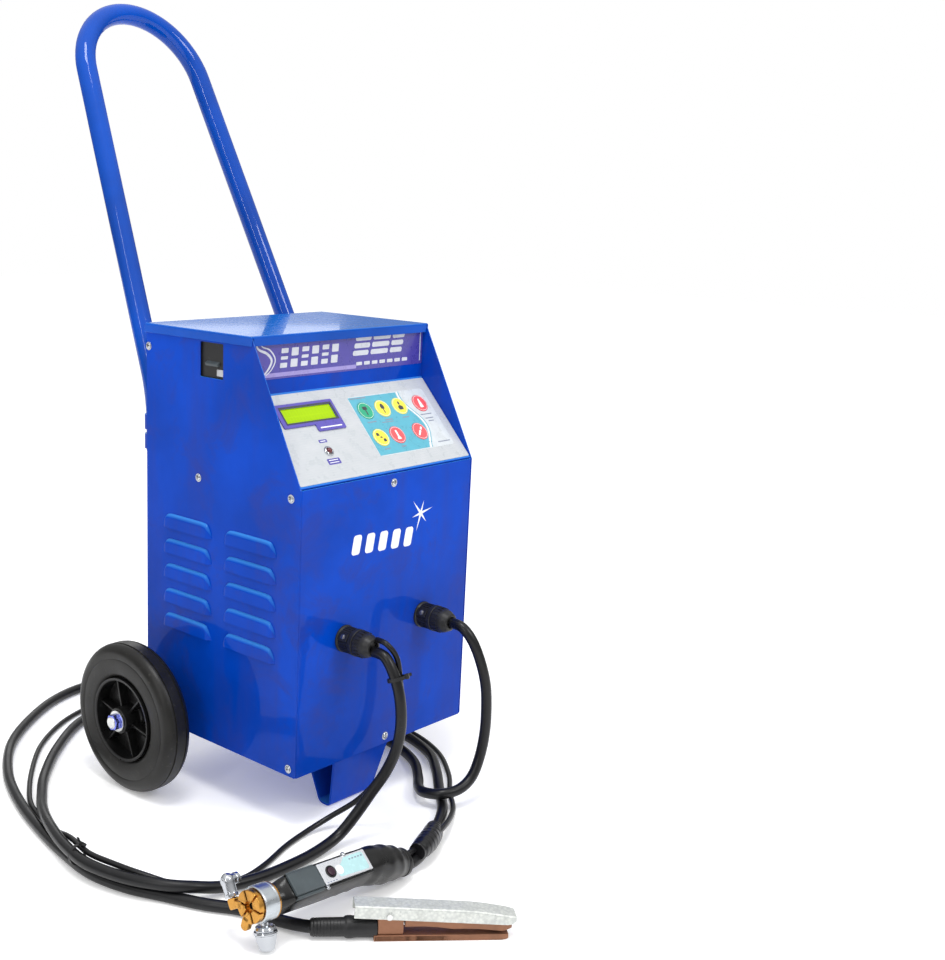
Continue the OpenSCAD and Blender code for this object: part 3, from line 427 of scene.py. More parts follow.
def fillet(points, radius, steps=4):
    """Rounds the corners of a closed outline. radius is one number, or one for each corner."""
    points = [Vector(p) for p in points]
    count = len(points)
    radii = radius if isinstance(radius, (list, tuple)) else [radius] * count
    corners = []
    for i, here in enumerate(points):
        to_before = points[i - 1] - here
        to_after = points[(i + 1) % count] - here
        a, b = to_before.normalized(), to_after.normalized()
        angle = a.angle(b)
        if radii[i] <= 0 or angle > pi - 0.02:
            corners.append(here)
            continue
        cut = min(radii[i] / tan(angle / 2), 0.48 * to_before.length, 0.48 * to_after.length)
        centre = here + (a + b).normalized() * (cut / cos(angle / 2))
        start, end = here + a * cut - centre, here + b * cut - centre
        for k in range(steps + 1):
            corners.append(centre + start.lerp(end, k / steps).normalized() * start.length)
    return corners


def flipped(points):
    return [Vector((-p.x, p.y)) for p in points]


def rounded(x0, y0, x1, y1, radius, steps=4):
    return fillet(rectangle(x0, y0, x1, y1), radius, steps)


def inset(points, distance):
    """Moves a closed outline to its left by distance."""
    count = len(points)
    moved = []
    for i, here in enumerate(points):
        a = (here - points[i - 1]).normalized()
        b = (points[(i + 1) % count] - here).normalized()
        n1, n2 = Vector((-a.y, a.x)), Vector((-b.y, b.x))
        moved.append(here + (n1 + n2) / max(0.25, 1 + n1.dot(n2)) * distance)
    return moved


def area_of(points):
    return 0.5 * sum(points[i - 1].x * p.y - p.x * points[i - 1].y for i, p in enumerate(points))


def prism(outline, depth, edge=0.4, holes=(), steps=2, matrix=Matrix.Identity(4)):
    """An outline extruded along +Z with rounded edges, and with round-edged holes."""
    loops = [[Vector(p) for p in loop] for loop in (outline, *holes)]
    loops = [loop if (area_of(loop) > 0) == (i == 0) else loop[::-1] for i, loop in enumerate(loops)]
    stages = []
    for k in range(steps + 1):
        turn = pi / 2 * k / steps
        stages.append((edge * (1 - sin(turn)), edge * (1 - cos(turn))))
    stages = stages + [(back, depth - up) for back, up in reversed(stages)]
    shape = Shape()
    verts, faces, starts = [], [], []
    for loop in loops:
        first = len(verts)
        starts.append(first)
        for back, height in stages:
            verts += [Vector((p.x, p.y, height)) for p in (inset(loop, back) if back > 1e-9 else loop)]
        size = len(loop)
        for ring in range(len(stages) - 1):
            for k in range(size):
                a = first + ring * size + k
                b = first + ring * size + (k + 1) % size
                faces.append((a, b, b + size, a + size))
    last = len(stages) - 1
    for ring in (0, last):
        if len(loops) == 1:
            cap = list(range(ring * len(loops[0]), (ring + 1) * len(loops[0])))
            faces.append(tuple(cap if ring else reversed(cap)))
            continue
        polygons, ids = [], []
        for loop, first in zip(loops, starts):
            loop_ids = list(range(first + ring * len(loop), first + (ring + 1) * len(loop)))
            polygons.append([verts[i] for i in loop_ids])
            ids += loop_ids
        for a, b, c in tessellate_polygon(polygons):
            faces.append((ids[a], ids[b], ids[c]))
    shape.add(verts, faces)
    return shape.moved(matrix)


def lathe(profile, sides=64, closed=False, matrix=Matrix.Identity(4)):
    """A profile of (along, radius) turned about +X. A closed profile is a ring's section."""
    verts, faces, rings = [], [], []
    for along, radius in profile:
        if radius < 1e-6:
            rings.append([len(verts)])
            verts.append(Vector((along, 0, 0)))
            continue
        rings.append(list(range(len(verts), len(verts) + sides)))
        verts += [Vector((along, p.x, p.y)) for p in circle(radius, sides)]
    pairs = list(zip(rings, rings[1:])) + ([(rings[-1], rings[0])] if closed else [])
    for a, b in pairs:
        for k in range(sides):
            n = (k + 1) % sides
            if len(a) == 1:
                faces.append((a[0], b[n], b[k]))
            elif len(b) == 1:
                faces.append((a[k], a[n], b[0]))
            else:
                faces.append((a[k], a[n], b[n], b[k]))
    if not closed:
        for ring in (rings[0], rings[-1]):
            if len(ring) > 1:
                faces.append(tuple(ring))
    return Shape().add(verts, faces).moved(matrix)


def rounded_profile(points, radius=0.5, steps=3):
    """A lathe profile, open at the axis, with its corners rounded."""
    closed = fillet([Vector(p) for p in points], [0 if p[1] < 1e-6 else radius for p in points], steps)
    return [(p.x, p.y) for p in closed]


def loft(rings):
    """Joins rings of equal size one after another, and caps both ends."""
    size = len(rings[0])
    verts = [v for ring in rings for v in ring]
    faces = []
    count = len(rings)
    for first in range(0, (count - 1) * size, size):
        for k in range(size):
            a, b = first + k, first + (k + 1) % size
            faces.append((a, b, b + size, a + size))
    faces.append(tuple(reversed(range(size))))
    faces.append(tuple(range((count - 1) * size, count * size)))
    return Shape().add(verts, faces)


def sweep(path, section, side=(0, 0, 1), scales=None):
    """Carries a flat section along a path, without twisting it."""
    path = [Vector(p) for p in path]
    count = len(path)
    across = Vector(side)
    rings = []
    for i, here in enumerate(path):
        along = (path[min(i + 1, count - 1)] - path[max(i - 1, 0)]).normalized()
        across = (across - across.dot(along) * along).normalized()
        other = along.cross(across)
        scale = scales[i] if scales else 1
        rings.append([here + (p[0] * across + p[1] * other) * scale for p in section])
    return loft(rings)


def box_shape(low, high, edge=0.5, steps=2):
    """A block with rounded edges."""
    low, high = Vector(low), Vector(high)
    outline = rounded(low.x, low.y, high.x, high.y, edge, 2)
    return prism(outline, high.z - low.z, edge, steps=steps, matrix=at(0, 0, low.z))


BODY_OF = {node: body for body, nodes in frame["record"]["behaviour"]["bodies"].items() for node in nodes}
NORMAL_WEIGHT = 90


def piece(name, shape, looks, node=None, body=None, sharp=38):
    """Makes the Blender object, in metres. It has the body of the node it stands for, and hides that node.
    """
    mesh = bpy.data.meshes.new(name)
    mesh.from_pydata([tuple(v * MM) for v in shape.verts], [], shape.faces)
    for look in looks if isinstance(looks, (list, tuple)) else [looks]:
        mesh.materials.append(look)
    mesh.polygons.foreach_set("material_index", shape.looks)
    edit = bmesh.new()
    edit.from_mesh(mesh)
    bmesh.ops.remove_doubles(edit, verts=edit.verts, dist=1e-7)
    bmesh.ops.dissolve_degenerate(edit, edges=edit.edges, dist=1e-7)
    bmesh.ops.recalc_face_normals(edit, faces=edit.faces)
    edit.to_mesh(mesh)
    edit.free()
    mesh.shade_smooth()
    mesh.set_sharp_from_angle(angle=radians(sharp))
    thing = bpy.data.objects.new(name, mesh)
    scene.collection.objects.link(thing)
    weigh = thing.modifiers.new("weigh", "WEIGHTED_NORMAL")
    weigh.weight = NORMAL_WEIGHT
    weigh.keep_sharp = True
    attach(thing, body or BODY_OF.get(node, "welder"))
    if node:
        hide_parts(node)
    return thing


def pan_head(radius=4.0, height=2.4, sides=32):
    """A pan-head screw on a thin washer, its axis along +X, with its cross recess drawn as a flat cross in
    its second look; the cabinet screws paint that cross dark, as painted shade.
    """
    shape = lathe(rounded_profile([(0, 0), (0, radius * 1.35), (0.6, radius * 1.35), (0.6, 0)], 0.2), sides)
    profile = [(0.5, 0), (0.5, radius), (height * 0.45, radius)]
    shape.join(lathe(profile + dome(height * 0.45, radius * 0.98, height * 0.55, 6), sides))
    for turn in (0, 90):
        slot = box_shape((height - 0.7, -radius * 0.5, -0.45), (height + 0.03, radius * 0.5, 0.45), 0.1, 1)
        shape.join(slot, turned(turn + 20), look=1)
    return shape


# painted shade: the dark grey of the cross recess stands in for the shadow inside it
recess = moulded("screw_recess_shade", (0.05, 0.05, 0.055), 0.5)

# ---------------------------------------------------------------- cabinet

LEFT, RIGHT = -125, 199
CENTRE = 37
FRONT, REAR = -30, 260
BACK = REAR - 10
BASE, FRONT_TOP, LID_TOP = 72, 437, 611
SHEET = 1.5
LID_FRONT = 59
LID_UNDER = LID_TOP - SHEET
AXLE_Y, AXLE_Z = 212.5, 100
LOUVRE = (96, 19, 5)
LOUVRE_PLACES = [(y, 221.5 + row * 33.8) for y in (57, 176.5) for row in range(5)]


def louvre_hood():
    """A pressed louvre in (along, up, out): round ends, a soft shoulder and an open lower lip."""
    length, height, out = LOUVRE
    columns, rows, skin = 56, 18, 1.0
    outer, inner = [], []
    for i in range(columns + 1):
        u = -cos(pi * i / columns) * length / 2
        near_end = length / 2 - abs(u)
        top = max(0.6, height * (1 - abs(2 * u / length) ** 9) ** 0.5 * min(1, 0.35 + near_end / 14) ** 0.6)
        rise = sin(min(1, near_end / 9) * pi / 2) ** 0.8
        for j in range(rows + 1):
            w = j / rows
            shoulder = 1 if w < 0.7 else max(0.0, cos(pi / 2 * (w - 0.7) / 0.3))
            lift = out * (0.9 + 0.1 * (1 - w)) * shoulder ** 0.5 * rise
            outer.append(Vector((u, w * top, lift - 0.15)))
            inner.append(Vector((u, w * (top - skin) + 0.02, max(-1.2, lift - skin))))
    shape = Shape()
    size = rows + 1
    faces, shift = [], len(outer)
    for i in range(columns):
        for j in range(rows):
            a = i * size + j
            faces.append((a, a + 1, a + size + 1, a + size))
            faces.append((shift + a, shift + a + size, shift + a + size + 1, shift + a + 1))
        for j in (0, rows):
            a = i * size + j
            faces.append((a, a + size, shift + a + size, shift + a))
    for i in (0, columns):
        for j in range(rows):
            a = i * size + j
            faces.append((a, a + 1, shift + a + 1, shift + a))
    return shape.add(outer + inner, faces)


def side_panel(name, node, outside_x, outward):
    outline = [(FRONT, BASE), (REAR, BASE), (REAR, LID_UNDER), (LID_FRONT, LID_UNDER), (FRONT, FRONT_TOP)]
    holes = [rounded(y - 44, z - 9.5, y + 44, z + 3, 3) for y, z in LOUVRE_PLACES]
    holes.append(disc_at((AXLE_Y, AXLE_Z), 9, 40))
    if outward < 0:
        holes.append(rounded(110, 553, 153, 597, 1.5))
    inner_x = outside_x if outward < 0 else outside_x - SHEET
    shape = prism(fillet(outline, [2.5, 1.5, 0.5, 0.5, 2.5]), SHEET, 0.45, holes,
                  matrix=at(inner_x, 0, 0) @ YZ)
    hood = louvre_hood()
    out = YZ if outward > 0 else Matrix.Scale(-1, 4, (1, 0, 0)) @ YZ
    for y, z in LOUVRE_PLACES:
        shape.join(hood, at(outside_x, y, z - 9.5) @ out)
    return piece(name, shape, blue, node)


def bent_sheet(points, thickness, radius):
    """The closed section of a sheet bent along open points, the sheet lying to their left."""
    points = [Vector(p) for p in points]
    back = []
    for i, here in enumerate(points):
        a = (here - points[i - 1]).normalized() if i else None
        b = (points[i + 1] - here).normalized() if i < len(points) - 1 else None
        n1 = Vector((-a.y, a.x)) if a else Vector((-b.y, b.x))
        n2 = Vector((-b.y, b.x)) if b else n1
        back.append(here + (n1 + n2) / (1 + n1.dot(n2)) * thickness)
    outline = points + back[::-1]
    radii = [0.4]
    for before, here, after in zip(points, points[1:], points[2:]):
        a, b = here - before, after - here
        radii.append(radius if a.x * b.y - a.y * b.x < 0 else radius + thickness)
    radii.append(0.4)
    inner = [0.4] + [radius * 2 + thickness - r for r in radii[1:-1]] + [0.4]
    return fillet(outline, radii + inner[::-1], 6)


side_panel("cabinet_side_left", "side_panel_left", LEFT, -1)
side_panel("cabinet_side_right", "side_panel_right", RIGHT, 1)

INNER_LEFT, INNER_RIGHT = LEFT + SHEET, RIGHT - SHEET

FRONT_RETURN = FRONT + 18
front_section = bent_sheet([(INNER_RIGHT, FRONT_RETURN), (INNER_RIGHT, FRONT), (INNER_LEFT, FRONT),
                            (INNER_LEFT, FRONT_RETURN)], -SHEET, 2.2)
piece("cabinet_front", prism(front_section, FRONT_TOP - BASE, 0.4, matrix=at(0, 0, BASE)), blue,
      "front_panel")

FACIA_LOW = Vector((0, -28.3, 438.5))
FACIA_RISE, FACIA_RUN = 538 - 438.5, 64 + 28.3
FACIA_SLOPE = degrees(atan2(FACIA_RISE, FACIA_RUN))
FACIA_LEN = hypot(FACIA_RISE, FACIA_RUN)
ON_FACIA = at(CENTRE, FACIA_LOW.y, FACIA_LOW.z) @ turned(FACIA_SLOPE)

panel_section = bent_sheet([(-22, 428), (-28.3, 438.5), (64, 538), (64, LID_UNDER - 0.3)], -SHEET, 1.6)
panel_shape = prism(panel_section, INNER_RIGHT - INNER_LEFT - 0.4, 0.3,
                    matrix=at(INNER_LEFT + 0.2, 0, 0) @ YZ)
piece("control_panel_sheet", panel_shape, blue, "control_panel")


def lid_shape():
    """The folded lid: one closed skin, with notches in its front lip where the side sheets pass."""
    x0, x1 = LEFT - 2, RIGHT + 2
    y0, y1 = LID_FRONT - SHEET, REAR + 2
    notch = 2.6
    bottom = LID_TOP - 12

    def ring(back, corner):
        """Points at the same places along the rim for every ring."""
        left, right, near, far = x0 + back, x1 - back, y0 + back, y1 - back
        steps = 4
        points = []
        for cx, cy, start in ((left, near, 180), (right, near, 270), (right, far, 0), (left, far, 90)):
            sx, sy = (1 if cx == left else -1), (1 if cy == near else -1)
            centre = Vector((cx + sx * corner, cy + sy * corner))
            for k in range(steps + 1):
                turn = radians(start + 90 * k / steps)
                points.append(centre + polar(corner, turn))
            if (cx, cy) == (left, near):
                for x in (LEFT - 0.5, LEFT - 0.45, LEFT + notch, LEFT + notch + 0.05,
                          RIGHT - notch - 0.05, RIGHT - notch, RIGHT + 0.45, RIGHT + 0.5):
                    points.append(Vector((x, near)))
        return points

    radius = 2.4
    rings = []
    for k in range(7):
        turn = pi / 2 * k / 6
        rings.append((radius * (1 - sin(turn)), LID_TOP - radius * (1 - cos(turn)), 1.4))
    skin = [(0, bottom + 0.4, 1.4), (0.4, bottom, 1.2), (SHEET - 0.4, bottom, 0.8),
            (SHEET, bottom + 0.4, 0.6), (SHEET, LID_UNDER - 0.9, 0.6), (SHEET + 0.9, LID_UNDER, 0.4)]
    verts_rings = []
    for back, height, corner in rings + skin:
        points = ring(back, corner)
        loop = []
        for p in points:
            from_side = min(p.x - LEFT, RIGHT - p.x)
            in_notch = p.y < y0 + 5 and -0.46 < from_side < notch + 0.01
            cut = in_notch and height < LID_UNDER - 1.5
            loop.append(Vector((p.x, p.y, LID_UNDER - 1.0 if cut else height)))
        verts_rings.append(loop)
    return loft(verts_rings)


piece("lid", lid_shape(), lid_blue, "top_cover")

vents = [rounded(CENTRE - 70, low, CENTRE + 70, low + 6, 2.9, 6) for low in range(180, 276, 16)]
rear_shape = prism(rounded(INNER_LEFT, BASE, INNER_RIGHT, LID_UNDER - 0.3, 1), SHEET, 0.4, vents,
                   matrix=at(0, BACK, 0) @ XZ)
for x, side in ((INNER_LEFT, 1), (INNER_RIGHT, -1)):
    low, high = sorted((x, x + side * SHEET))
    rear_shape.join(box_shape((low, BACK - 18, BASE + 1), (high, BACK - 1.2, LID_UNDER - 1), 0.4))
piece("cabinet_rear", rear_shape, blue, "rear_panel")

base_shape = box_shape((INNER_LEFT + SHEET, FRONT + SHEET, BASE),
                       (INNER_RIGHT - SHEET, BACK - SHEET, BASE + 2), 0.4)
piece("cabinet_base", base_shape, blue, "base_plate")


def foot_shape():
    """A folded V of 3 mm sheet, its ends sloping in towards the floor."""
    lean, bend, sheet, flat = radians(13), 9, 3, 3

    def half(radius):
        arc = [Vector((flat + radius * sin(t), bend - radius * cos(t)))
               for t in (radians(77) * k / 10 for k in range(11))]
        run = (BASE - bend + radius * sin(lean)) / cos(lean)
        return arc + [Vector((flat + radius * cos(lean) + run * sin(lean), BASE))]

    outer, inner = half(bend), half(bend - sheet)
    section = flipped(outer)[::-1] + outer + inner[::-1] + flipped(inner)
    shape = prism(section, 102, 0.5, matrix=at(-51, 0, 0) @ YZ)
    for v in shape.verts:
        v.x *= (39 + 12 * v.z / BASE) / 51
    return shape


piece("front_foot", foot_shape(), blue, "foot")

# screws on the sides and the front
screw_shape = Shape()
for away, z in ((285, 581), (185, 423), (16, 425), (12, 82)):
    screw_shape.join(pan_head(), at(LEFT, FRONT + away, z) @ turned(z=180))
    screw_shape.join(pan_head(), at(RIGHT, FRONT + away, z))
for z in (FRONT_TOP - 12, BASE + 11):
    screw_shape.join(pan_head(), at(CENTRE + 4, FRONT, z) @ turned(z=-90))
piece("cabinet_screw_heads", screw_shape, [chrome, recess], "cabinet_screws")

# ---------------------------------------------------------------- handle

HANDLE_LEAN, HANDLE_TAPER, HANDLE_HALF, HANDLE_R = 25.2, 4.8, 132, 14.25
HANDLE_Y, LEG_Y = REAR + 51, BACK + HANDLE_R
HANDLE_DROP = (HANDLE_Y - LEG_Y) / sin(radians(HANDLE_LEAN))
LEG_HALF = HANDLE_HALF + HANDLE_DROP * tan(radians(HANDLE_TAPER))


def handle_path():
    """The handle's centre line: two upright feet, two leaning legs and the bow."""
    lean, taper = radians(HANDLE_LEAN), radians(HANDLE_TAPER)
    bow_r, reach = 102, 40
    rise_to_bow = (HANDLE_HALF - bow_r / cos(taper)) / tan(taper)
    drop = HANDLE_DROP

    def point(across, up):
        return Vector((CENTRE + across, HANDLE_Y + up * sin(lean), LID_TOP + up * cos(lean)))

    def half_at(up):
        return HANDLE_HALF - up * tan(taper)

    low = half_at(-drop)
    bend_z = LID_TOP - drop * cos(lean)
    corner = Vector((CENTRE - low, LEG_Y, bend_z))
    below = Vector((CENTRE - low, LEG_Y, bend_z - reach))
    above = point(-half_at(reach - drop), reach - drop)
    bend = [(1 - t) ** 2 * below + 2 * t * (1 - t) * corner + t * t * above
            for t in (k / 14 for k in range(15))]
    leg_top = rise_to_bow + bow_r * sin(taper)
    leg = [Vector((CENTRE - low, LEG_Y, z)) for z in (440, 450, 460)] + bend
    for k in range(1, 8):
        up = reach - drop + (leg_top - 4 - reach + drop) * k / 8
        leg.append(point(-half_at(up), up))
    bow = []
    for k in range(49):
        turn = pi - taper - k * (pi - 2 * taper) / 48
        bow.append(point(bow_r * cos(turn), rise_to_bow + bow_r * sin(turn)))
    mirrored = [Vector((2 * CENTRE - p.x, p.y, p.z)) for p in reversed(leg)]
    return leg + bow + mirrored


piece("push_handle", sweep(handle_path(), circle(HANDLE_R - 0.05, 40), (1, 0, 0)), handle_blue,
      "handle_tube", sharp=50)

# ---------------------------------------------------------------- control panel

KEYS = [(16.5, 93), (49.4, 93), (83, 93), (124.3, 93), (16.5, 51), (48.3, 51), (93.2, 51)]
KEY_SLOTS = ["key_green", "key_yellow", "key_yellow", "key_red", "key_yellow", "key_red", "key_red"]
KEY_R, KEY_GAP = 13, 0.3
LCD_AT, LCD_SIZE = (-83.3, 100), (88, 22.4)
LAMP_AT = (-84.5, 44)
KEYPAD_AT, KEYPAD_SIZE = (70.4, 70), (148.6, 92.6)
FILM = 0.6


def lcd_hole(grow=0.0):
    return rectangle(LCD_AT[0] - LCD_SIZE[0] / 2 - grow, LCD_AT[1] - LCD_SIZE[1] / 2 - grow,
                     LCD_AT[0] + LCD_SIZE[0] / 2 + grow, LCD_AT[1] + LCD_SIZE[1] / 2 + grow)


def across_facia(look, corner):
    """Splits the place into X across the sloped panel and Y up it, from the corner."""
    flat = look.add("ShaderNodeMapping", vector_type="TEXTURE")
    look.put(flat.inputs["Vector"], look.place)
    look.put(flat.inputs["Location"], tuple(corner * MM))
    look.put(flat.inputs["Rotation"], (radians(FACIA_SLOPE), 0, 0))
    split = look.add("ShaderNodeSeparateXYZ")
    look.put(split.inputs[0], flat.outputs[0])
    return split


def facia_look():
    """Pale film printed with a faint pattern of interlocking bars."""
    look = Look("facia_print")
    split = across_facia(look, FACIA_LOW)
    tile = 0.0105
    v = look.math("DIVIDE", split.outputs["Y"], tile)
    u = look.math("ADD", look.math("DIVIDE", split.outputs["X"], tile), look.math("MULTIPLY", v, 0.58))
    column, row = look.math("FLOOR", u), look.math("FLOOR", v)
    odd = look.math("MODULO", look.math("ADD", look.math("ADD", column, row), 1000), 2)
    along_u = look.math("PINGPONG", look.math("MULTIPLY", u, 3), 0.5)
    along_v = look.math("PINGPONG", look.math("MULTIPLY", v, 3), 0.5)
    choice = look.math("ADD", look.math("MULTIPLY", along_u, odd),
                       look.math("MULTIPLY", along_v, look.math("SUBTRACT", 1.0, odd)))
    line = look.range(choice, 0.05, 0.13, 1, 0)
    mottle = look.range(look.noise(60, 4), 0.35, 0.7, 0, 1)
    base = look.mix(mottle, rgba((0.49, 0.52, 0.54)), rgba((0.55, 0.57, 0.59)))
    base = look.mix(look.math("MULTIPLY", line, 0.55), base, rgba((0.42, 0.44, 0.50)))
    look.set(Base_Color=base, Roughness=look.range(mottle, 0, 1, 0.26, 0.34))
    look.set(Coat_Weight=0.3, Coat_Roughness=0.12)
    look.bump(line, 0.08, 0.0001)
    return look.material


PANEL_HALF = (INNER_RIGHT - INNER_LEFT) / 2
film_outline = rounded(-PANEL_HALF + 1, 3, PANEL_HALF - 1, FACIA_LEN - 3, 2.5)
film_holes = [disc_at(k, KEY_R + KEY_GAP) for k in KEYS] + [lcd_hole(), disc_at(LAMP_AT, 4.1)]
piece("facia_film", prism(film_outline, FILM, 0.15, film_holes, 1, ON_FACIA), facia_look(), "panel_film")


PAD_TOP = FILM * 1.5 + 0.01


def keypad_shape():
    """The keypad's print: a pale ground, a blue field with a wavy side, and two wavy stripes."""
    (w, h), (ku, kv) = KEYPAD_SIZE, KEYPAD_AT
    left, right, low, high = ku - w / 2, ku + w / 2, kv - h / 2, kv + h / 2

    def wave(v, shift=0.0):
        t = (v - low) / h
        return ku + 29 + shift + 9.5 * sin((t - 0.14) * 2 * pi) + 3 * (0.5 - t)

    steps = 32
    ground = rounded(left, low, right, high, 5, 5)
    holes = [disc_at(k, KEY_R + KEY_GAP) for k in KEYS]
    shape = Shape().join(prism(ground, FILM * 0.5, 0.1, holes, 1, at(0, 0, FILM)), look=0)

    def between(a, b, margin):
        heights = [low + margin + (h - 2 * margin) * i / steps for i in range(steps + 1)]
        return [Vector((b(v), v)) for v in heights] + [Vector((a(v), v)) for v in reversed(heights)]

    blue_keys = [k for k in KEYS if k[0] < wave(k[1]) - 4]
    field = between(lambda v: left + 1.5, wave, 1.5)
    inside = [disc_at(k, KEY_R + KEY_GAP) for k in blue_keys if k[0] + KEY_R + 1 < wave(k[1])]
    shape.join(prism(field, 0.12, 0.04, inside, 1, at(0, 0, PAD_TOP)), look=1)
    for shift, wide, look in ((1.6, 2.0, 2), (4.4, 1.4, 1)):
        stripe = between(lambda v: wave(v, shift), lambda v: wave(v, shift + wide), 1.2)
        shape.join(prism(stripe, 0.14, 0.04, (), 1, at(0, 0, PAD_TOP)), look=look)
    return shape.moved(ON_FACIA)


ink_blue = printed("ink_blue", (0.085, 0.40, 0.52))
ink_white = printed("ink_white", (0.86, 0.88, 0.90))
ink_dark = printed("ink_dark", (0.03, 0.035, 0.05))
ink_grey = printed("ink_grey", (0.22, 0.25, 0.33))
ink_purple = printed("ink_purple", (0.07, 0.055, 0.34))
ink_lilac = printed("ink_lilac", (0.32, 0.27, 0.62))
keypad_ground = printed("keypad_ground", (0.60, 0.64, 0.67))
piece("keypad", keypad_shape(), [keypad_ground, ink_blue, ink_white], "keypad_film")

# the keys' glyphs are simple outlines of hand tools
GLYPHS = {
    0: [[(-4, 1), (4, 1), (4, 6), (-4, 6)], [(-1, -7), (1, -7), (1, 1), (-1, 1)]],
    1: [[(-3, -1), (3, -1), (3.6, 3), (1.5, 7), (-1.5, 7), (-3.6, 3)],
        [(-0.9, -7.5), (0.9, -7.5), (0.9, -1), (-0.9, -1)]],
    2: [[(-4, -6), (4, -6), (4.6, -1), (0, 1.5), (-4.6, -1)], [(-1.6, 2), (1.6, 2), (1.6, 7), (-1.6, 7)]],
    3: [[(-3.4, -7), (3.4, -7), (2.2, 1), (1, 7), (-1, 7), (-2.2, 1)]],
    4: [[(-7, 2.5), (-1, 2.5), (-2, 7), (-6, 7)], [(1, -7), (7, -7), (6, -2.5), (2, -2.5)],
        [(-2, -1), (2, -1), (2, 1), (-2, 1)]],
    5: [[(-4, -7), (4, -7), (1.6, -2), (1.6, 7), (-1.6, 7), (-1.6, -2)]],
    6: [[(-7, -5), (-5, -7), (2, 0), (0, 2)], [(1, 3), (3, 1), (7, 5), (5, 7)]],
}


def key_shape(index):
    """A slightly domed key with a printed rim and a flat glyph on its crown."""
    top, rise = 2 * FILM + 0.42, 0.08
    face_r = KEY_R - 0.35
    profile = [(0.65, 0), (0.65, KEY_R - 0.2), (0.8, KEY_R), (top - 0.35, KEY_R), (top - 0.08, face_r)]
    for k in range(1, 8):
        r = face_r * (1 - k / 8)
        profile.append((top + rise * (1 - (r / KEY_R) ** 2), r))
    profile.append((top + rise, 0))
    shape = lathe(profile, 72, matrix=turned(y=-90))
    for outline in GLYPHS[index]:
        shape.join(prism(fillet(outline, 0.8, 3), 0.05, 0.02, (), 1, at(0, 0, top + rise - 0.02)), look=1)
    rim_in, rim_out = KEY_R - 1.6, KEY_R - 1.1
    ring = [(top - 0.02, rim_in), (top + 0.035, rim_in), (top + 0.03, rim_out), (top - 0.02, rim_out)]
    shape.join(lathe(ring, 72, closed=True, matrix=turned(y=-90)), look=2)
    return shape.moved(ON_FACIA @ at(*KEYS[index], 0))


for i, slot_name in enumerate(KEY_SLOTS):
    glyph = ink_white if slot_name == "key_red" else ink_dark
    piece(f"key_cap_{i + 1}", key_shape(i), [frame_looks[slot_name], glyph, ink_white], f"key_{i + 1}")


def bar(u0, v0, u1, v1, lift, thick=0.06, corner=0.5):
    return prism(rounded(u0, v0, u1, v1, corner, 3), thick, 0.02, (), 1, ON_FACIA @ at(0, 0, lift))


# captions are left as plain bars
captions = Shape()
film_top = FILM + 0.005
INK_STEP = 0.13
for (u, v), width in zip(KEYS, (17, 14, 13, 22, 11, 9, 23)):
    lift = PAD_TOP + (INK_STEP if u < 90 else 0)
    captions.join(bar(u - width / 2, v - 18.4, u + width / 2, v - 16.9, lift))
captions.join(bar(34, 71.6, 56, 72.8, PAD_TOP + INK_STEP))
for box in ((118, 68, 134, 69.6), (121, 63.5, 132, 65.1), (115, 30, 140, 31.6)):
    captions.join(bar(*box, PAD_TOP))
captions.join(bar(0, 112, 30, 113.6, PAD_TOP + INK_STEP))
piece("panel_captions", captions, ink_grey)


def lamp_bar(half, low, high, lift, thick=0.06, corner=0.5):
    """A bar centred on the lamp, its heights counted from the lamp."""
    u, v = LAMP_AT
    return bar(u - half, v + low, u + half, v + high, lift, thick, corner)


tags = lamp_bar(7, 13, 17.5, film_top, corner=1).join(lamp_bar(11, -19, -10.5, film_top, corner=1.5))
piece("lamp_tags", tags, ink_purple)
tag_lines = Shape()
for half, low, high in ((8, -13.4, -12.3), (8, -16.8, -15.7), (4.5, 14.6, 15.8)):
    tag_lines.join(lamp_bar(half, low, high, film_top + 0.06, 0.04))
piece("lamp_tag_lines", tag_lines, ink_white)


def bezel_shape():
    u0, v0 = LCD_AT[0] - LCD_SIZE[0] / 2, LCD_AT[1] - LCD_SIZE[1] / 2
    u1, v1 = u0 + LCD_SIZE[0], v0 + LCD_SIZE[1]
    edge, step = u1 + 6, 49
    outline = [(u0 - 8, v0 - 6), (edge - step, v0 - 6), (edge - step, v0 - 16), (edge, v0 - 16),
               (edge, v1 + 6), (u0 - 8, v1 + 6)]
    shape = prism(fillet(outline, [2, 0.6, 2, 2, 2, 2], 4), 1.9, 0.5, [lcd_hole(-0.4)], 3, at(0, 0, FILM))
    inner = prism(fillet(lcd_hole(1.9), 0.8), 0.35, 0.15, [lcd_hole(-0.4)], 1, at(0, 0, FILM + 1.85))
    shape.join(inner, look=1)
    shape.join(prism(rounded(u1 - 38, v0 - 12.4, u1, v0 - 10.6, 0.5), 0.12, 0.04, (), 1,
                     at(0, 0, FILM + 1.88)), look=2)
    return shape.moved(ON_FACIA)


piece("display_frame", bezel_shape(), [frame_looks["purple_plastic"], ink_dark, ink_white], "lcd_bezel")


def display_look():
    """Yellow-green glass, lit from behind, with two faint rows of character cells."""
    look = Look("display_glass")
    split = across_facia(look, ON_FACIA @ lcd_hole()[0].to_3d())
    column = look.math("PINGPONG", look.math("DIVIDE", split.outputs["X"], 0.0052), 0.5)
    row = look.math("PINGPONG", look.math("DIVIDE", split.outputs["Y"], 0.0100), 0.5)
    cell = look.math("MULTIPLY", look.range(column, 0.06, 0.10, 0, 1), look.range(row, 0.05, 0.08, 0, 1))
    base = look.mix(look.math("MULTIPLY", cell, 0.25), rgba((0.34, 0.56, 0.001)), rgba((0.25, 0.44, 0.001)))
    look.set(Base_Color=base, Emission_Color=base, Emission_Strength=0.16, Roughness=0.12,
             Specular_IOR_Level=0.15)
    look.bump(cell, 0.05, 0.0001)
    return look.material


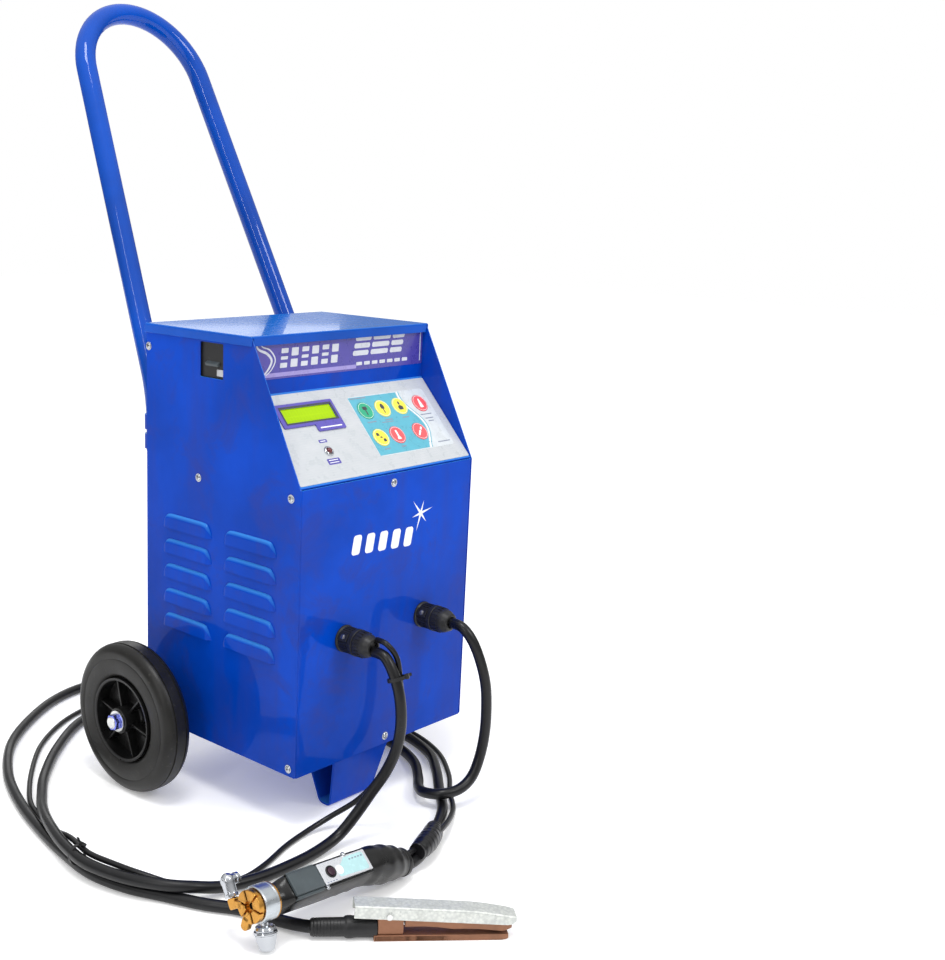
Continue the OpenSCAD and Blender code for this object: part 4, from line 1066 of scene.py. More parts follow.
glass = prism([Vector(p) for p in lcd_hole(-0.05)], 0.9, 0.1, (), 1, ON_FACIA @ at(0, 0, -0.3))
piece("display_window", glass, display_look(), "lcd_window")

ON_LAMP = ON_FACIA @ at(*LAMP_AT, 0) @ turned(y=-90)
lamp = lathe([(FILM, 4.15), (FILM, 7), (FILM + 0.6, 7.1), (FILM + 1.5, 6.7), (FILM + 2.3, 5.6),
              (FILM + 2.4, 4.9), (FILM + 1.7, 4.15)],
             64, closed=True, matrix=ON_LAMP)
piece("lamp_bezel", lamp, chrome, "lamp_ring")
lens_profile = [(-4, 0), (-4, 3.9), (2.0, 4.0)] + dome(2.0, 4.0, 3.6, 10)
piece("lamp_dome", lathe(lens_profile, 48, matrix=ON_LAMP), frame_looks["lamp_red"], "lamp_lens")

# banner film: purple ground, a lilac strip, and plain shapes where the real one has lettering
BANNER = at(CENTRE, 64, 0) @ XZ
BANNER_INK = 0.27


def on_banner(outline, lift, thick=0.08, holes=()):
    return prism(outline, thick, 0.02, holes, 1, BANNER @ at(0, 0, lift))


banner = Shape()
banner.join(on_banner(rounded(-PANEL_HALF + 1, 556, PANEL_HALF - 1, 608.5, 2), 0, 0.25), look=0)
banner.join(on_banner(rounded(-PANEL_HALF + 6, 558.5, 28, 563.5, 1.5), 0.26), look=1)
banner.join(on_banner(rounded(PANEL_HALF - 6.5, 560, PANEL_HALF - 4.8, 600, 0.8), 0.26), look=2)


def ribbon(points, width):
    path = [p.to_2d() for p in smooth([(x, z, 0) for x, z in points], 8)]
    left, right = [], []
    for i, p in enumerate(path):
        along = (path[min(i + 1, len(path) - 1)] - path[max(i - 1, 0)]).normalized()
        swell = width * (0.45 + 0.55 * sin(pi * i / (len(path) - 1)))
        left.append(p + Vector((-along.y, along.x)) * swell / 2)
        right.append(p - Vector((-along.y, along.x)) * swell / 2)
    return left + right[::-1]


for path, width in (
    ([(-152, 604), (-146, 594), (-132, 588), (-124, 579), (-130, 568), (-140, 560)], 3.4),
    ([(-146, 606), (-140, 597), (-127, 592), (-118, 580), (-124, 568), (-134, 561)], 2.0),
):
    banner.join(on_banner(ribbon(path, width), BANNER_INK), look=2)


def add_stroke(u, low, wide, high, lean, corner):
    """A white bar from (u, low), its top pushed to the right by lean."""
    outline = [(u, low), (u + wide, low), (u + wide + lean, high), (u + lean, high)]
    banner.join(on_banner(fillet(outline, corner), BANNER_INK), look=2)


for i, u in enumerate((-110, -92, -74, -56, -38, -20)):
    for low, high in (((569, 575), (579, 583), (587, 593)), ((569, 579), (583, 593)))[i % 2]:
        add_stroke(u + (low - 569) * 0.12, low, 12, high, 0.8, 1.0)
for u, wide in ((20, 30), (54, 34), (92, 24)):
    for low in (575, 584.5, 594):
        add_stroke(u + (low - 575) * 0.27, low, wide, low + 6.5, 2, 2.4)
for k in range(7):
    add_stroke(28 + 15 * k, 562, 11, 566.5, 0, 1)
banner_white = printed("banner_white", (0.62, 0.64, 0.71))
piece("banner_film", banner, [ink_purple, ink_lilac, banner_white])

# a plain white mark on the front: a falling row of bars and a six-point spark
mark = Shape()
FRONT_PLATE = at(0, FRONT, 0) @ XZ
for k in range(5):
    u, low = -35 + 24.5 * k, 342 - 1.3 * k
    block = [(u, low), (u + 15, low), (u + 20, low + 25), (u + 5, low + 25)]
    mark.join(prism(fillet(block, 4), 0.08, 0.02, (), 1, FRONT_PLATE))
spark = []
for k in range(12):
    turn = pi / 6 * k + 0.2
    radius = 3.4 if k % 2 else (24 if k % 4 == 0 else 17)
    spark.append(Vector((96, 377)) + polar(radius, turn))
mark.join(prism(spark, 0.08, 0.02, (), 1, FRONT_PLATE))
piece("front_mark", mark, ink_white)

# breaker behind its window
breaker = Shape()
breaker.join(box_shape((LEFT + 3, 104.5, 545), (LEFT + 71, 158.5, 605), 1.5), look=0)
breaker.join(box_shape((LEFT + 1.8, 112, 556), (LEFT + 4, 124, 564.5), 0.8), look=1)
piece("breaker_case", breaker, [black, light_plastic], "breaker_body")
toggle = lathe(rounded_profile([(-12, 0), (-12, 4), (12, 4), (12, 0)], 0.5), 40, matrix=turned(z=90))
lever = box_shape((-11.5, -12, -2.2), (0, 12, 2.2), 1.0, 3)
toggle.join(lever, turned(y=-30))
piece("breaker_rocker", toggle.moved(at(LEFT + SHEET + 8, 131.5, 575)), slate, "breaker_toggle")

# ---------------------------------------------------------------- wheels and axle

WHEEL_X = {"left": LEFT - 62, "right": RIGHT + 62}


def tyre_profile():
    """Section of the solid tyre: flat tread with two grooves, soft shoulders, stepped side walls."""
    half = [(0, 100), (6.6, 100), (7.1, 98.6), (8.6, 98.4), (9.2, 99.5)]
    for k in range(1, 9):
        turn = radians(82 - 76 * k / 8)
        half.append(tuple(Vector((6, 86)) + polar(14, turn)))
    half += [(19.9, 83), (19.2, 82), (19.2, 80.6), (19.9, 79.6), (20, 72),
             (19.4, 63), (18.6, 60.5), (17.2, 58.2), (15.5, 56.6), (12, 56.2)]
    return half + [(-a, r) for a, r in reversed(half[1:])]


def both_sides(half):
    """A lathe profile and its mirror image."""
    return half + [(-along, radius) for along, radius in reversed(half)]


def hub_shape():
    """Moulded hub: barrel with rolled rims, thin web, six ribs and a bored core."""
    shape = lathe(both_sides([(21, 55.9), (21, 53.6), (20, 52.2), (6, 51.6), (2.2, 50.6), (2.2, 45)]), 96,
                  closed=True)
    shape.join(lathe(both_sides([(2.0, 12), (2.0, 46)]), 96, closed=True))
    core = both_sides([(25, 8.1), (25, 15.6), (24.2, 16.8), (6, 18), (3, 19.5), (2, 22)])
    shape.join(lathe(core, 64, closed=True))
    rib = fillet([(15, -15.5), (52, -14), (52, 14), (15, 15.5)], 1.5)
    swapped = Matrix(((0, 1, 0, 0), (1, 0, 0, 0), (0, 0, 1, 0), (0, 0, 0, 1)))
    around(shape, prism(rib, 2.6, 0.8, steps=3, matrix=at(0, 0, -1.3)).moved(swapped), 6, 12)
    boss = lathe(rounded_profile([(-3.5, 0), (-3.5, 4.2), (3.5, 4.2), (3.5, 0)], 0.6), 24)
    for k in range(6):
        shape.join(boss, at(0, *polar(34, radians(60 * k + 42))))
    return shape


for hand, x in WHEEL_X.items():
    place = at(x, AXLE_Y, AXLE_Z)
    piece(f"tyre_solid_{hand}", lathe(tyre_profile(), 144, closed=True, matrix=place), tyre_rubber,
          f"tyre_{hand}", sharp=50)
    piece(f"hub_moulding_{hand}", hub_shape().moved(place), hub_black, f"hub_{hand}")

axle_end = rounded_profile([(WHEEL_X["left"] - 37, 0), (WHEEL_X["left"] - 37, 7.9),
                            (WHEEL_X["right"] + 37, 7.9),
                            (WHEEL_X["right"] + 37, 0)], 1.2)
AXLE = at(0, AXLE_Y, AXLE_Z)
axle = lathe(axle_end, 48, matrix=AXLE)
for side, x in ((-1, WHEEL_X["left"] - 37), (1, WHEEL_X["right"] + 37)):
    for k in range(5):
        start = x - side * (1.6 + k * 1.5)
        thread = [(start - 0.7, 7.7), (start, 8.12), (start + 0.7, 7.7)]
        axle.join(lathe(thread, 48, closed=True, matrix=AXLE))
piece("axle_rod", axle, zinc, "axle")


def nut_shape(flats, height):
    """A hexagon nut with turned chamfers, along +X from 0."""
    hexagon = fillet(circle(flats, 6), 0.8, 3)
    rings = []
    for x, back in ((0.0, 0.9), (0.5, 0.0), (height - 1.0, 0.0), (height, 1.6)):
        rings.append([Vector((x, p.x * (1 - back / flats), p.y * (1 - back / flats))) for p in hexagon])
    return loft(rings)


nuts = Shape()
for side, x in ((-1, WHEEL_X["left"] - 25.5), (1, WHEEL_X["right"] + 25.5)):
    facing = at(x, AXLE_Y, AXLE_Z) @ turned(z=0 if side > 0 else 180)
    washer = [(0, 8.05), (0, 13.8), (0.3, 14), (1.7, 14), (2, 13.6), (2, 8.05)]
    nuts.join(lathe(washer, 64, closed=True, matrix=facing), look=0)
    nuts.join(nut_shape(11, 8), facing @ at(2, 0, 0) @ turned(x=14), look=1)
piece("axle_nut_set", nuts, [zinc, blue_zinc], "axle_nuts")

mounts = Shape()
for side in (-1, 1):
    x = CENTRE + side * 142
    block = box_shape((x - 12, AXLE_Y - 18, BASE + 2), (x + 12, AXLE_Y + 18, BASE + 44), 1.2, 3)
    mounts.join(block)
    low, high = sorted((CENTRE + side * 162.2, CENTRE + side * 198.5))
    spacer = [(low, 8.05), (low, 11.4), (low + 0.6, 12), (high - 0.6, 12), (high, 11.4), (high, 8.05)]
    mounts.join(lathe(spacer, 64, closed=True, matrix=AXLE))
piece("axle_mount_set", mounts, dark_steel, "axle_mounts")

# saddles that hold the handle's legs on the rear, each with one ear on its inner side
saddles = Shape()
BAND_IN, BAND_OUT, BAND_FOOT = 14.5, 16.4, -14.2
for side in (-1, 1):
    over, under = ([polar(r, pi * k / 20) for k in range(21)] for r in (BAND_OUT, BAND_IN))
    band = [Vector(p) for p in ((BAND_IN, BAND_FOOT), (30.3, BAND_FOOT), (30.3, -11.3), (BAND_OUT, -11.3))]
    band += over + [Vector((-BAND_OUT, BAND_FOOT)), Vector((-BAND_IN, BAND_FOOT))] + under[::-1]
    if side > 0:
        band = flipped(band)[::-1]
    for z in (443, 469):
        place = at(CENTRE + side * LEG_HALF, LEG_Y, z)
        saddles.join(prism(band, 20, 0.4, matrix=place), look=0)
        saddles.join(pan_head(3.6, 2.2), place @ at(-side * 23.4, -11.3, 10) @ turned(z=90), look=1)
piece("handle_saddle_set", saddles, [blue, chrome], "handle_saddles")

# ---------------------------------------------------------------- cable glands

GLAND_XS = (-42.5, 107.5)
GLAND_Z = 237
FORWARD = turned(z=-90)


def gland_shape():
    """Gland along -Y: ribbed body with a rim on the sheet; the dome nut with its soft lip is made apart."""
    profile = [(0, 0), (0, 17.4), (1.6, 17.6), (2.4, 17.2), (3.4, 15.9), (19, 15.6), (20, 17.2),
               (25.4, 17.4), (26, 16.8), (26, 0)]
    shape = lathe(profile, 72, matrix=FORWARD)
    around(shape, box_shape((4.5, -0.75, 15.2), (18.5, 0.75, 16.6), 0.4), 28, matrix=FORWARD)
    at_strap = FORWARD @ turned(x=62)
    shape.join(box_shape((4.2, -5.5, 15.4), (18.8, 5.5, 17.6), 1.0), at_strap)
    shape.join(pan_head(2.6, 1.8), at_strap @ at(11.5, 0, 17.4) @ turned(y=-90), look=1)
    shape.join(lathe([(-1.5, 0), (-1.5, 15), (0, 15), (0, 0)], 48, matrix=FORWARD))
    shape.join(lathe([(-7.5, 0), (-7.5, 18.5), (-1.6, 18.5), (-1.6, 0)], 6, matrix=FORWARD))
    return shape


def gland_nut_shape():
    profile = [(26, 0), (26, 15.6), (26.6, 16.4), (31, 16.4), (33, 15.9), (38, 15.6),
               (42.6, 14.6), (44, 13.6), (47, 12.4), (49.2, 11.4), (50, 10.2), (50, 8.0), (48.6, 7.4),
               (46, 7.2), (46, 0)]
    shape = lathe(profile, 72, matrix=FORWARD)
    around(shape, box_shape((27.4, -0.9, 14.6), (37, 0.9, 16.9), 0.5), 20, matrix=FORWARD)
    return shape


gland_places = [at(x, FRONT, GLAND_Z) for x in GLAND_XS] + [at(CENTRE - 90, BACK, 130) @ turned(z=180)]
bodies, caps = Shape(), Shape()
for place in gland_places:
    bodies.join(gland_shape(), place)
    caps.join(gland_nut_shape(), place)
piece("gland_body_set", bodies, [black, dark_steel], "cable_glands")
piece("gland_nut_set", caps, black, "gland_nuts")


def tie_shape(place, along, radius, turn=0.0, tail=14.0):
    """A cable tie: flat band with its head and a cut tail."""
    frame_here = axes(along, Vector((0, 0, 1)).cross(Vector(along)), place) @ turned(x=turn)
    band = [(-2.2, radius), (-2.2, radius + 1.1), (2.2, radius + 1.1), (2.2, radius)]
    shape = lathe(band, 48, closed=True)
    shape.join(box_shape((-3.2, -3.6, radius - 0.5), (3.2, 3.6, radius + 4.2), 0.8))
    curve = [(0, 3.2 + tail * t, radius + 2.4 + 3.5 * t * t) for t in (0, 0.25, 0.5, 0.75, 1.0)]
    shape.join(sweep(curve, [(2, -0.5), (2, 0.5), (-2, 0.5), (-2, -0.5)], side=(1, 0, 0)))
    return shape.moved(frame_here)


ties = Shape()
ties.join(tie_shape((-36.4, -113.8, 205), (0.036, -0.36, -0.93), 11.2, -30, 8))
ties.join(tie_shape((-375, 76, 20), (-0.05, 1, 0), 11.0, 40, 9))
piece("cable_tie_set", ties, black)

# ---------------------------------------------------------------- sleeve behind the gun

SLEEVE_ROUTE = [(-6, -159, 14), (-32, -175, 18), (-60, -188, 21), (-84, -196, 23)]


def sleeve_shape():
    """Taped sleeve: overlapping turns of tape with a soft, uneven surface."""
    path = smooth(SLEEVE_ROUTE, 24)
    section = circle(1, 40)
    scales = []
    for i, p in enumerate(path):
        t = i / (len(path) - 1)
        body = 9.2 + 3.4 * sin(pi * min(1, t * 1.08)) ** 0.7 + 0.6 * t
        lap = (t * 9) % 1
        scales.append(body + 0.5 * lap + 0.5 * noise.noise(p * 0.09))
    shape = sweep(path, section, scales=scales)
    shape.verts = [v + Vector((0, 0, 0.55)) * noise.noise(v * 0.16) for v in shape.verts]
    return shape


piece("sleeve_wrap", sleeve_shape(), rubber, "cable_sleeve", sharp=45)

# ---------------------------------------------------------------- gun

GUN = at(-350, -191.5, 53) @ turned(y=5, z=-1)
GUN_ROLLED = GUN @ turned(x=40)
HEAD = GUN @ turned(x=-15)
COVER_FROM, LABEL_FROM, LABEL_TO, GUN_TOP = 47, 90, 164, 22.5
LABEL_HALF = 12.3
RIDGE_WAIST = 20
# along, half width, half height, shift across, shift up, and the power that squares the section
GUN_SECTIONS = [
    (30, 13.6, 13.6, 0, 0, 0.9), (38, 14.8, 15.6, 0, 0, 0.75), (42, 15.3, 17.6, 0, 0, 0.6),
    (46, 15.8, 19.7, 0, 0, 0.5), (50, 16.1, 21.2, 0, 0, 0.44),
    (100, 16.5, 22.4, 0, 0, 0.42), (150, 17.2, 22.4, 0, 0, 0.45),
    (164, 17.5, 22.4, 0, 0, 0.6), (180, 20.4, 24.4, -1, -1, 0.8), (200, 21.5, 24, -3, -4, 0.85),
    (220, 19.5, 21.5, -5, -6, 0.9), (236, 16.6, 17, -7, -9, 1.0), (242, 15, 15.6, -7.6, -9.6, 1.0),
    (245, 13.2, 14, -8, -10, 1.0), (246, 11, 11.5, -8, -10, 1.0),
]


def gun_section(x):
    for a, b in zip(GUN_SECTIONS, GUN_SECTIONS[1:]):
        if x <= b[0]:
            t = (x - a[0]) / (b[0] - a[0])
            t = t * t * (3 - 2 * t)
            return [p + (q - p) * t for p, q in zip(a, b)]
    return list(GUN_SECTIONS[-1])


def gun_grip_shape():
    stations = [30, 32, 35, 38, 40, 42, 44, 46, 48, 50, 53] + list(range(58, 164, 6))
    stations += [163, 165, 166.5, 168, 170] + [172 + 2.0 * k for k in range(34)]
    stations += [241, 243, 244.4, 245.4, 246]
    rings = []
    for x in stations:
        half_across, half_up, across, rise, power = gun_section(x)[1:]
        ring = []
        for k in range(72):
            turn = 2 * pi * k / 72
            c, s = cos(turn), sin(turn)
            y = half_across * copysign(abs(c) ** power, c)
            z = half_up * copysign(abs(s) ** power, s)
            finger = exp(-((x - 178) / 62) ** 4) if x > 110 else 0
            ridge = 1.5 * finger * max(0.0, -s) ** 0.6 * (0.5 + 0.5 * cos((x - 122) * 2 * pi / 17.5))
            if COVER_FROM < x < LABEL_TO and s > 0.35:
                z = min(z, GUN_TOP - 3.1)
            scale = 1 - ridge / RIDGE_WAIST
            ring.append(Vector((x, across + y * scale, rise + z * scale)))
        rings.append(ring)
    shape = loft(rings)
    for side in (-1, 1):
        rail = box_shape((COVER_FROM, -1.1, 17.0), (LABEL_TO + 2, 1.1, 20.4), 0.9, 3)
        shape.join(rail, at(0, side * 13.8, 0))
    collar = [(237, 15.6), (238, 16.8), (243, 16.6), (244.6, 15.6), (246, 13)]
    shape.join(lathe(rounded_profile([(236, 0), *collar, (246, 0)], 0.8), 56, matrix=at(0, -7.7, -9.7)))
    return shape.moved(GUN_ROLLED)


piece("gun_grip", gun_grip_shape(), grip_black, "gun_body", sharp=42)


def on_gun_top(outline, low, thick, edge=0.3, holes=(), steps=2):
    """A plate in the gun's top plane; the outline's first number runs along the gun."""
    return prism(outline, thick, edge, holes, steps, GUN_ROLLED @ at(0, 0, low))


cover = rounded(COVER_FROM, -LABEL_HALF, LABEL_FROM - 0.6, LABEL_HALF, 1.6)
cover_plate = on_gun_top(cover, GUN_TOP - 3, 4, 1.0, steps=3)
for y in (-13.7, 13.7):
    rail = box_shape((COVER_FROM + 1, y - 1.6, 9), (LABEL_FROM - 0.8, y + 1.6, 20.8), 1.2, 3)
    cover_plate.join(rail, GUN_ROLLED)
piece("gun_cover_plate", cover_plate, slate, "gun_cover")

button_at = (LABEL_FROM + 15, 0)
label = on_gun_top(rounded(LABEL_FROM, -LABEL_HALF, LABEL_TO, LABEL_HALF, 1.2), GUN_TOP - 3, 3.6, 0.4,
                   [disc_at(button_at, 5.5, 40)])
print_z = GUN_TOP + 0.6
teal = [Vector(p) for p in ((114, -9), (160, -10.4), (160, 10.4), (131, 10.6), (124, 5), (114, 1.5))]
label.join(on_gun_top(fillet(teal, 3), print_z - 0.02, 0.07, 0.02, steps=1), look=1)
label.join(on_gun_top(disc_at((118, -1), 5.4, 40), print_z + 0.03, 0.07, 0.02, steps=1), look=2)
for count, x, y, pitch, wide, high, lift in ((5, 137, 5.6, 4.6, 2.8, 1.6, 0.05),
                                             (4, 93, -11, 4.2, 2.6, 1.2, -0.02)):
    for start in (x + pitch * k for k in range(count)):
        dash = rounded(start, y, start + wide, y + high, 0.4)
        label.join(on_gun_top(dash, print_z + lift, 0.05, 0.02, steps=1), look=3)
ink_teal = printed("ink_teal", (0.42, 0.66, 0.68), 0.25)
piece("gun_label_plate", label, [frame_looks["label_silver"], ink_teal, ink_white, ink_grey], "gun_label")

rim = [(GUN_TOP + 0.55, 5.4), (GUN_TOP + 0.55, 7.2), (GUN_TOP + 1.3, 7.0), (GUN_TOP + 1.6, 6.2),
       (GUN_TOP + 1.2, 5.4)]
to_top = GUN_ROLLED @ at(*button_at, 0) @ turned(y=-90)
label_trim = lathe(rim, 48, closed=True, matrix=to_top)
bump_at = GUN_ROLLED @ at(133, 13.3, GUN_TOP - 2.8)
label_trim.join(lathe(rounded_profile([(0, 0), (0, 3.4), (3.2, 3.4), (4.6, 2.2), (4.6, 0)], 0.8), 32,
                      matrix=bump_at @ turned(y=-62)), look=1)
screw_place = GUN_ROLLED @ at(94, -13.7, GUN_TOP - 3.4) @ turned(y=-90)
label_trim.join(pan_head(2.3, 1.6), screw_place, look=1)
piece("gun_label_trim", label_trim, [black, chrome])

BUTTON_RIM, BUTTON_R = GUN_TOP + 1.8, 4.9
button_profile = [(15.2, 0), (15.2, BUTTON_R), (BUTTON_RIM, BUTTON_R)] + dome(BUTTON_RIM, BUTTON_R, 1.1)
piece("gun_push", lathe(button_profile, 40, matrix=to_top), frame_looks["button_dark"], "gun_button")


def head_sector(a0, a1, r_in, r_out, gap, steps=9):
    """One segment of the split collet, as an outline, kept half a slot off each cut."""
    turns = [a0 + (a1 - a0) * k / steps for k in range(steps + 1)]
    push = polar(gap / 2 / sin((a1 - a0) / 2), (a0 + a1) / 2)
    outer, inner = ([polar(r, turn) + push for turn in turns] for r in (r_out, r_in))
    return outer + inner[::-1]


LEVER_LEAN, EAR_Y = 18.5, 27
head = Shape()
for k in range(6):
    a0 = radians(60 * k + 15)
    sector = head_sector(a0, a0 + pi / 3, 4.4, 16.2, 1.8)
    head.join(prism(fillet(sector, 0.5, 2), 6.6, 0.9, steps=3, matrix=YZ))
head.join(lathe([(4.6, 3.7), (4.6, 15.6), (7.6, 16.4), (9.5, 16.45), (9.5, 3.7)], 64, closed=True), look=0)
# a near-black lining and end disc in the bore: painted shade where the hollow is shaded
head.join(lathe([(5, 3.55), (5, 4.1), (25, 4.1), (25, 3.55)], 48, closed=True), look=1)
head.join(lathe([(24, 0), (24, 3.8), (25, 3.8), (25, 0)], 48), look=1)
ear_turn = Matrix.Rotation(radians(-LEVER_LEAN), 2)
ear = [ear_turn @ p + Vector((EAR_Y, 0)) for p in rounded(-6, -6, 6, 6, 2.4, 5)]
head.join(prism(ear, 7.4, 1.0, steps=3, matrix=YZ))
head.join(prism(rounded(12, -4, 22.5, 4, 1), 7.3, 0.8, steps=3, matrix=YZ))
lobe = fillet([(-5, -28.8), (5, -28.8), (5, -12), (-5, -12)], [4.6, 4.6, 1, 1], 6)
turned_lobe = [Matrix.Rotation(radians(27), 2) @ p for p in lobe]
head.join(prism(turned_lobe, 7.4, 1.2, steps=3, matrix=YZ))
piece("gun_collet", head.moved(HEAD), [brass, bore_painted_shade], "gun_head")

drum = [(8.6, 16.7), (8.1, 17.4), (8, 18.8), (8.8, 19.7), (10, 20), (23.4, 20), (24, 19.6),
        (25, 19.6), (25.6, 20), (28.6, 19.9), (29.6, 19.1), (30, 17.7), (30, 14.4), (20, 14.4), (14, 16.7)]
drum_shape = lathe(drum, 96, closed=True)
drum_shape.join(lathe([(27.2, 19.7), (27.2, 20.1), (28.6, 20.0), (28.6, 19.6)], 96, closed=True), look=1)
around(drum_shape, box_shape((28.5, -0.5, 17.9), (30.1, 0.5, 19.5), 0.3, 1), 48, look=1)
piece("gun_drum", drum_shape.moved(HEAD), [satin_steel, brass], "gun_nut", sharp=30)

at_lever = HEAD @ at(3.75, EAR_Y, 0) @ turned(x=-LEVER_LEAN)


def lever_shape():
    """Elbow lever: collar and shank with a bent arm and a rounded end."""
    up = turned(y=-90)
    shape = lathe([(-4, 0), (-4, 2.9), (7, 2.9), (7, 0)], 32, matrix=up)
    shank = [(6.6, 0), (6.6, 6.8), (7.2, 7.8), (9.6, 7.9), (10.2, 7.3), (11, 7.1), (20, 7.3),
             (21.5, 7.8), (24.5, 7.9)]
    shape.join(lathe(shank + dome(24.5, 7.9, 7.8), 56, matrix=up))
    arm = [(-7.6, 0), (-7.2, 3.6), (-4.6, 5.6), (0, 6.2), (6, 5.8), (9, 5.5), (9.6, 6.1), (10.4, 6.3),
           (13.4, 6.2), (14.7, 5.2), (15, 0)]
    shape.join(lathe(arm, 48, matrix=at(0, 0, 24.5)))
    return shape


piece("collet_handle", lever_shape().moved(at_lever), chrome, "gun_lever", sharp=30)

NUT_R = 20


def knob_shape():
    """Tapered knob: neck, collar with a groove and eight flats that narrow to a rounded tip."""
    down = turned(y=90)
    shape = lathe([(NUT_R - 3, 0), (NUT_R - 3, 2.9), (NUT_R + 1, 2.9), (NUT_R + 1, 0)], 32, matrix=down)
    collar = [(0.3, 0), (0.3, 4.9), (3.8, 5.0), (4.2, 9.4), (5, 10.4), (7.4, 11.4), (8, 10.6),
              (9, 10.6), (9.6, 12.4), (11.4, 12.9), (12.4, 12.7), (12.4, 0)]
    collar = [(NUT_R + x, r) for x, r in collar]
    shape.join(lathe(collar, 56, matrix=down))
    flats = []
    for back, radius in ((12.0, 12.5), (13.0, 12.8), (20.5, 10.8), (27.8, 8.7), (29.3, 8.0), (29.95, 6.4)):
        ring = [Vector((NUT_R + back, p.x, p.y)) for p in fillet(circle(radius, 8, 0.2), 1.0, 3)]
        flats.append(ring)
    shape.join(loft(flats), down)
    return shape.moved(HEAD @ at(20, 0, 0))


piece("drum_knob", knob_shape(), chrome, "gun_knob", sharp=25)

# ---------------------------------------------------------------- ground clamp

CLAMP = at(-280.5, -214, 0) @ turned(z=-42)
CLAMP_TILT, BAR_T = 3.5, 7
JAW = CLAMP @ at(84, 0, 26) @ turned(y=CLAMP_TILT)
TAIL, NOSE, HALF, SKIN = -38, 138, 12, 2


def channel_shape():
    """Galvanised channel: rolled top corners and a nose that curves down."""
    rings = []
    for k in range(61):
        t = k / 60
        x = TAIL + (NOSE - TAIL) * t
        drop = 5.0 * max(0.0, (x - (NOSE - 52)) / 52) ** 1.6
        top = 14 - drop + 0.35 * sin(pi * t)
        base = 3.6 * max(0.0, (x - (NOSE - 8)) / 8) ** 2
        half = HALF - 1.6 * max(0.0, (x - (NOSE - 14)) / 14) ** 2
        outer, inner = (fillet([(w, base), (w, h), (-w, h), (-w, base)], [low, high, high, low], 5)
                        for w, h, low, high in ((half, top, 0.4, 2.6), (half - SKIN, top - SKIN, 0.2, 1.0)))
        rings.append([Vector((x, p[0], p[1])) for p in outer + inner[::-1]])
    return loft(rings)


channel = channel_shape()
channel.join(box_shape((NOSE - 2.2, -HALF + 1.6, 4), (NOSE - 0.2, HALF - 1.6, 8.6), 0.8, 3))
for y, out in ((-HALF, -1), (HALF, 1)):
    boss = rounded_profile([(0, 0), (0, 4.6), (0.5, 4.6), (0.5, 0)], 0.3)
    channel.join(lathe(boss, 32, matrix=at(0, y, 4) @ turned(z=90 * out)))


def galvanised():
    """Galvanised sheet: dull grey-white spangle, darker clouds and dark pits."""
    look = Look("galvanised")
    spangle = look.add("ShaderNodeTexVoronoi")
    look.put(spangle.inputs["Vector"], look.place)
    look.put(spangle.inputs["Scale"], 260.0)
    speck = look.noise(420, 3, 0.7)
    cloud = look.noise(55, 4, 0.6)
    base = look.mix(look.range(spangle.outputs["Distance"], 0.1, 0.8, 0, 1), rgba((0.70, 0.72, 0.68)),
                    rgba((0.55, 0.57, 0.55)))
    base = look.mix(look.range(cloud, 0.5, 0.75, 0, 0.5), base, rgba((0.42, 0.44, 0.42)))
    base = look.mix(look.range(speck, 0.60, 0.72, 0, 0.7), base, rgba((0.30, 0.31, 0.30)))
    look.set(Base_Color=base, Metallic=0.55, Roughness=look.range(cloud, 0.3, 0.7, 0.42, 0.62))
    look.bump(speck, 0.25, 0.0003)
    return look.material


galvanised_steel = galvanised()
piece("clamp_upper_jaw", channel.moved(JAW), galvanised_steel, "clamp_channel")


def strip_shape(stations, edge=0.7):
    """A bar of changing half width, lowest and highest height, along +X."""
    rings = []
    for x, half, low, high in stations:
        outline = fillet([(half, low), (half, high), (-half, high), (-half, low)], edge, 3)
        rings.append([Vector((x, p[0], p[1])) for p in outline])
    return loft(rings)


LINER_FROM, LOWER_FROM, LOWER_TO = 18, 68, 214
liner = []
for k in range(41):
    t = k / 40
    x = LINER_FROM + (NOSE - 4 - LINER_FROM) * t
    arch = 1.6 * abs(sin(2.2 * pi * t)) * (1 - t * 0.4)
    nose_rise = 3.2 * max(0.0, (t - 0.9) / 0.1) ** 1.5
    liner.append((x, 9.5 - 1.5 * max(0.0, (t - 0.93) / 0.07), -8.9 + arch + nose_rise, -0.25))
piece("clamp_upper_liner", strip_shape(liner).moved(JAW), copper, "clamp_liner")

lower = []
for k in range(41):
    t = k / 40
    x = LOWER_FROM + (LOWER_TO - LOWER_FROM) * t
    tip = max(0.0, (t - 0.94) / 0.06)
    lower.append((x, 11 - 1.8 * tip ** 2, 0.1 + 1.0 * tip ** 2, BAR_T - 0.8 * tip))
lower_jaw = strip_shape(lower, 0.8)
for side in (-1, 1):
    fold = [(69, 1.0, 0.2, 6.9), (76, 1.0, 0.2, 7.2), (150, 1.0, 0.2, 7.2), (206, 0.9, 0.2, 6.6)]
    lower_jaw.join(strip_shape(fold, 0.4), at(0, side * 10, 0))
piece("clamp_lower_bar", lower_jaw.moved(CLAMP), copper, "clamp_lower_jaw")

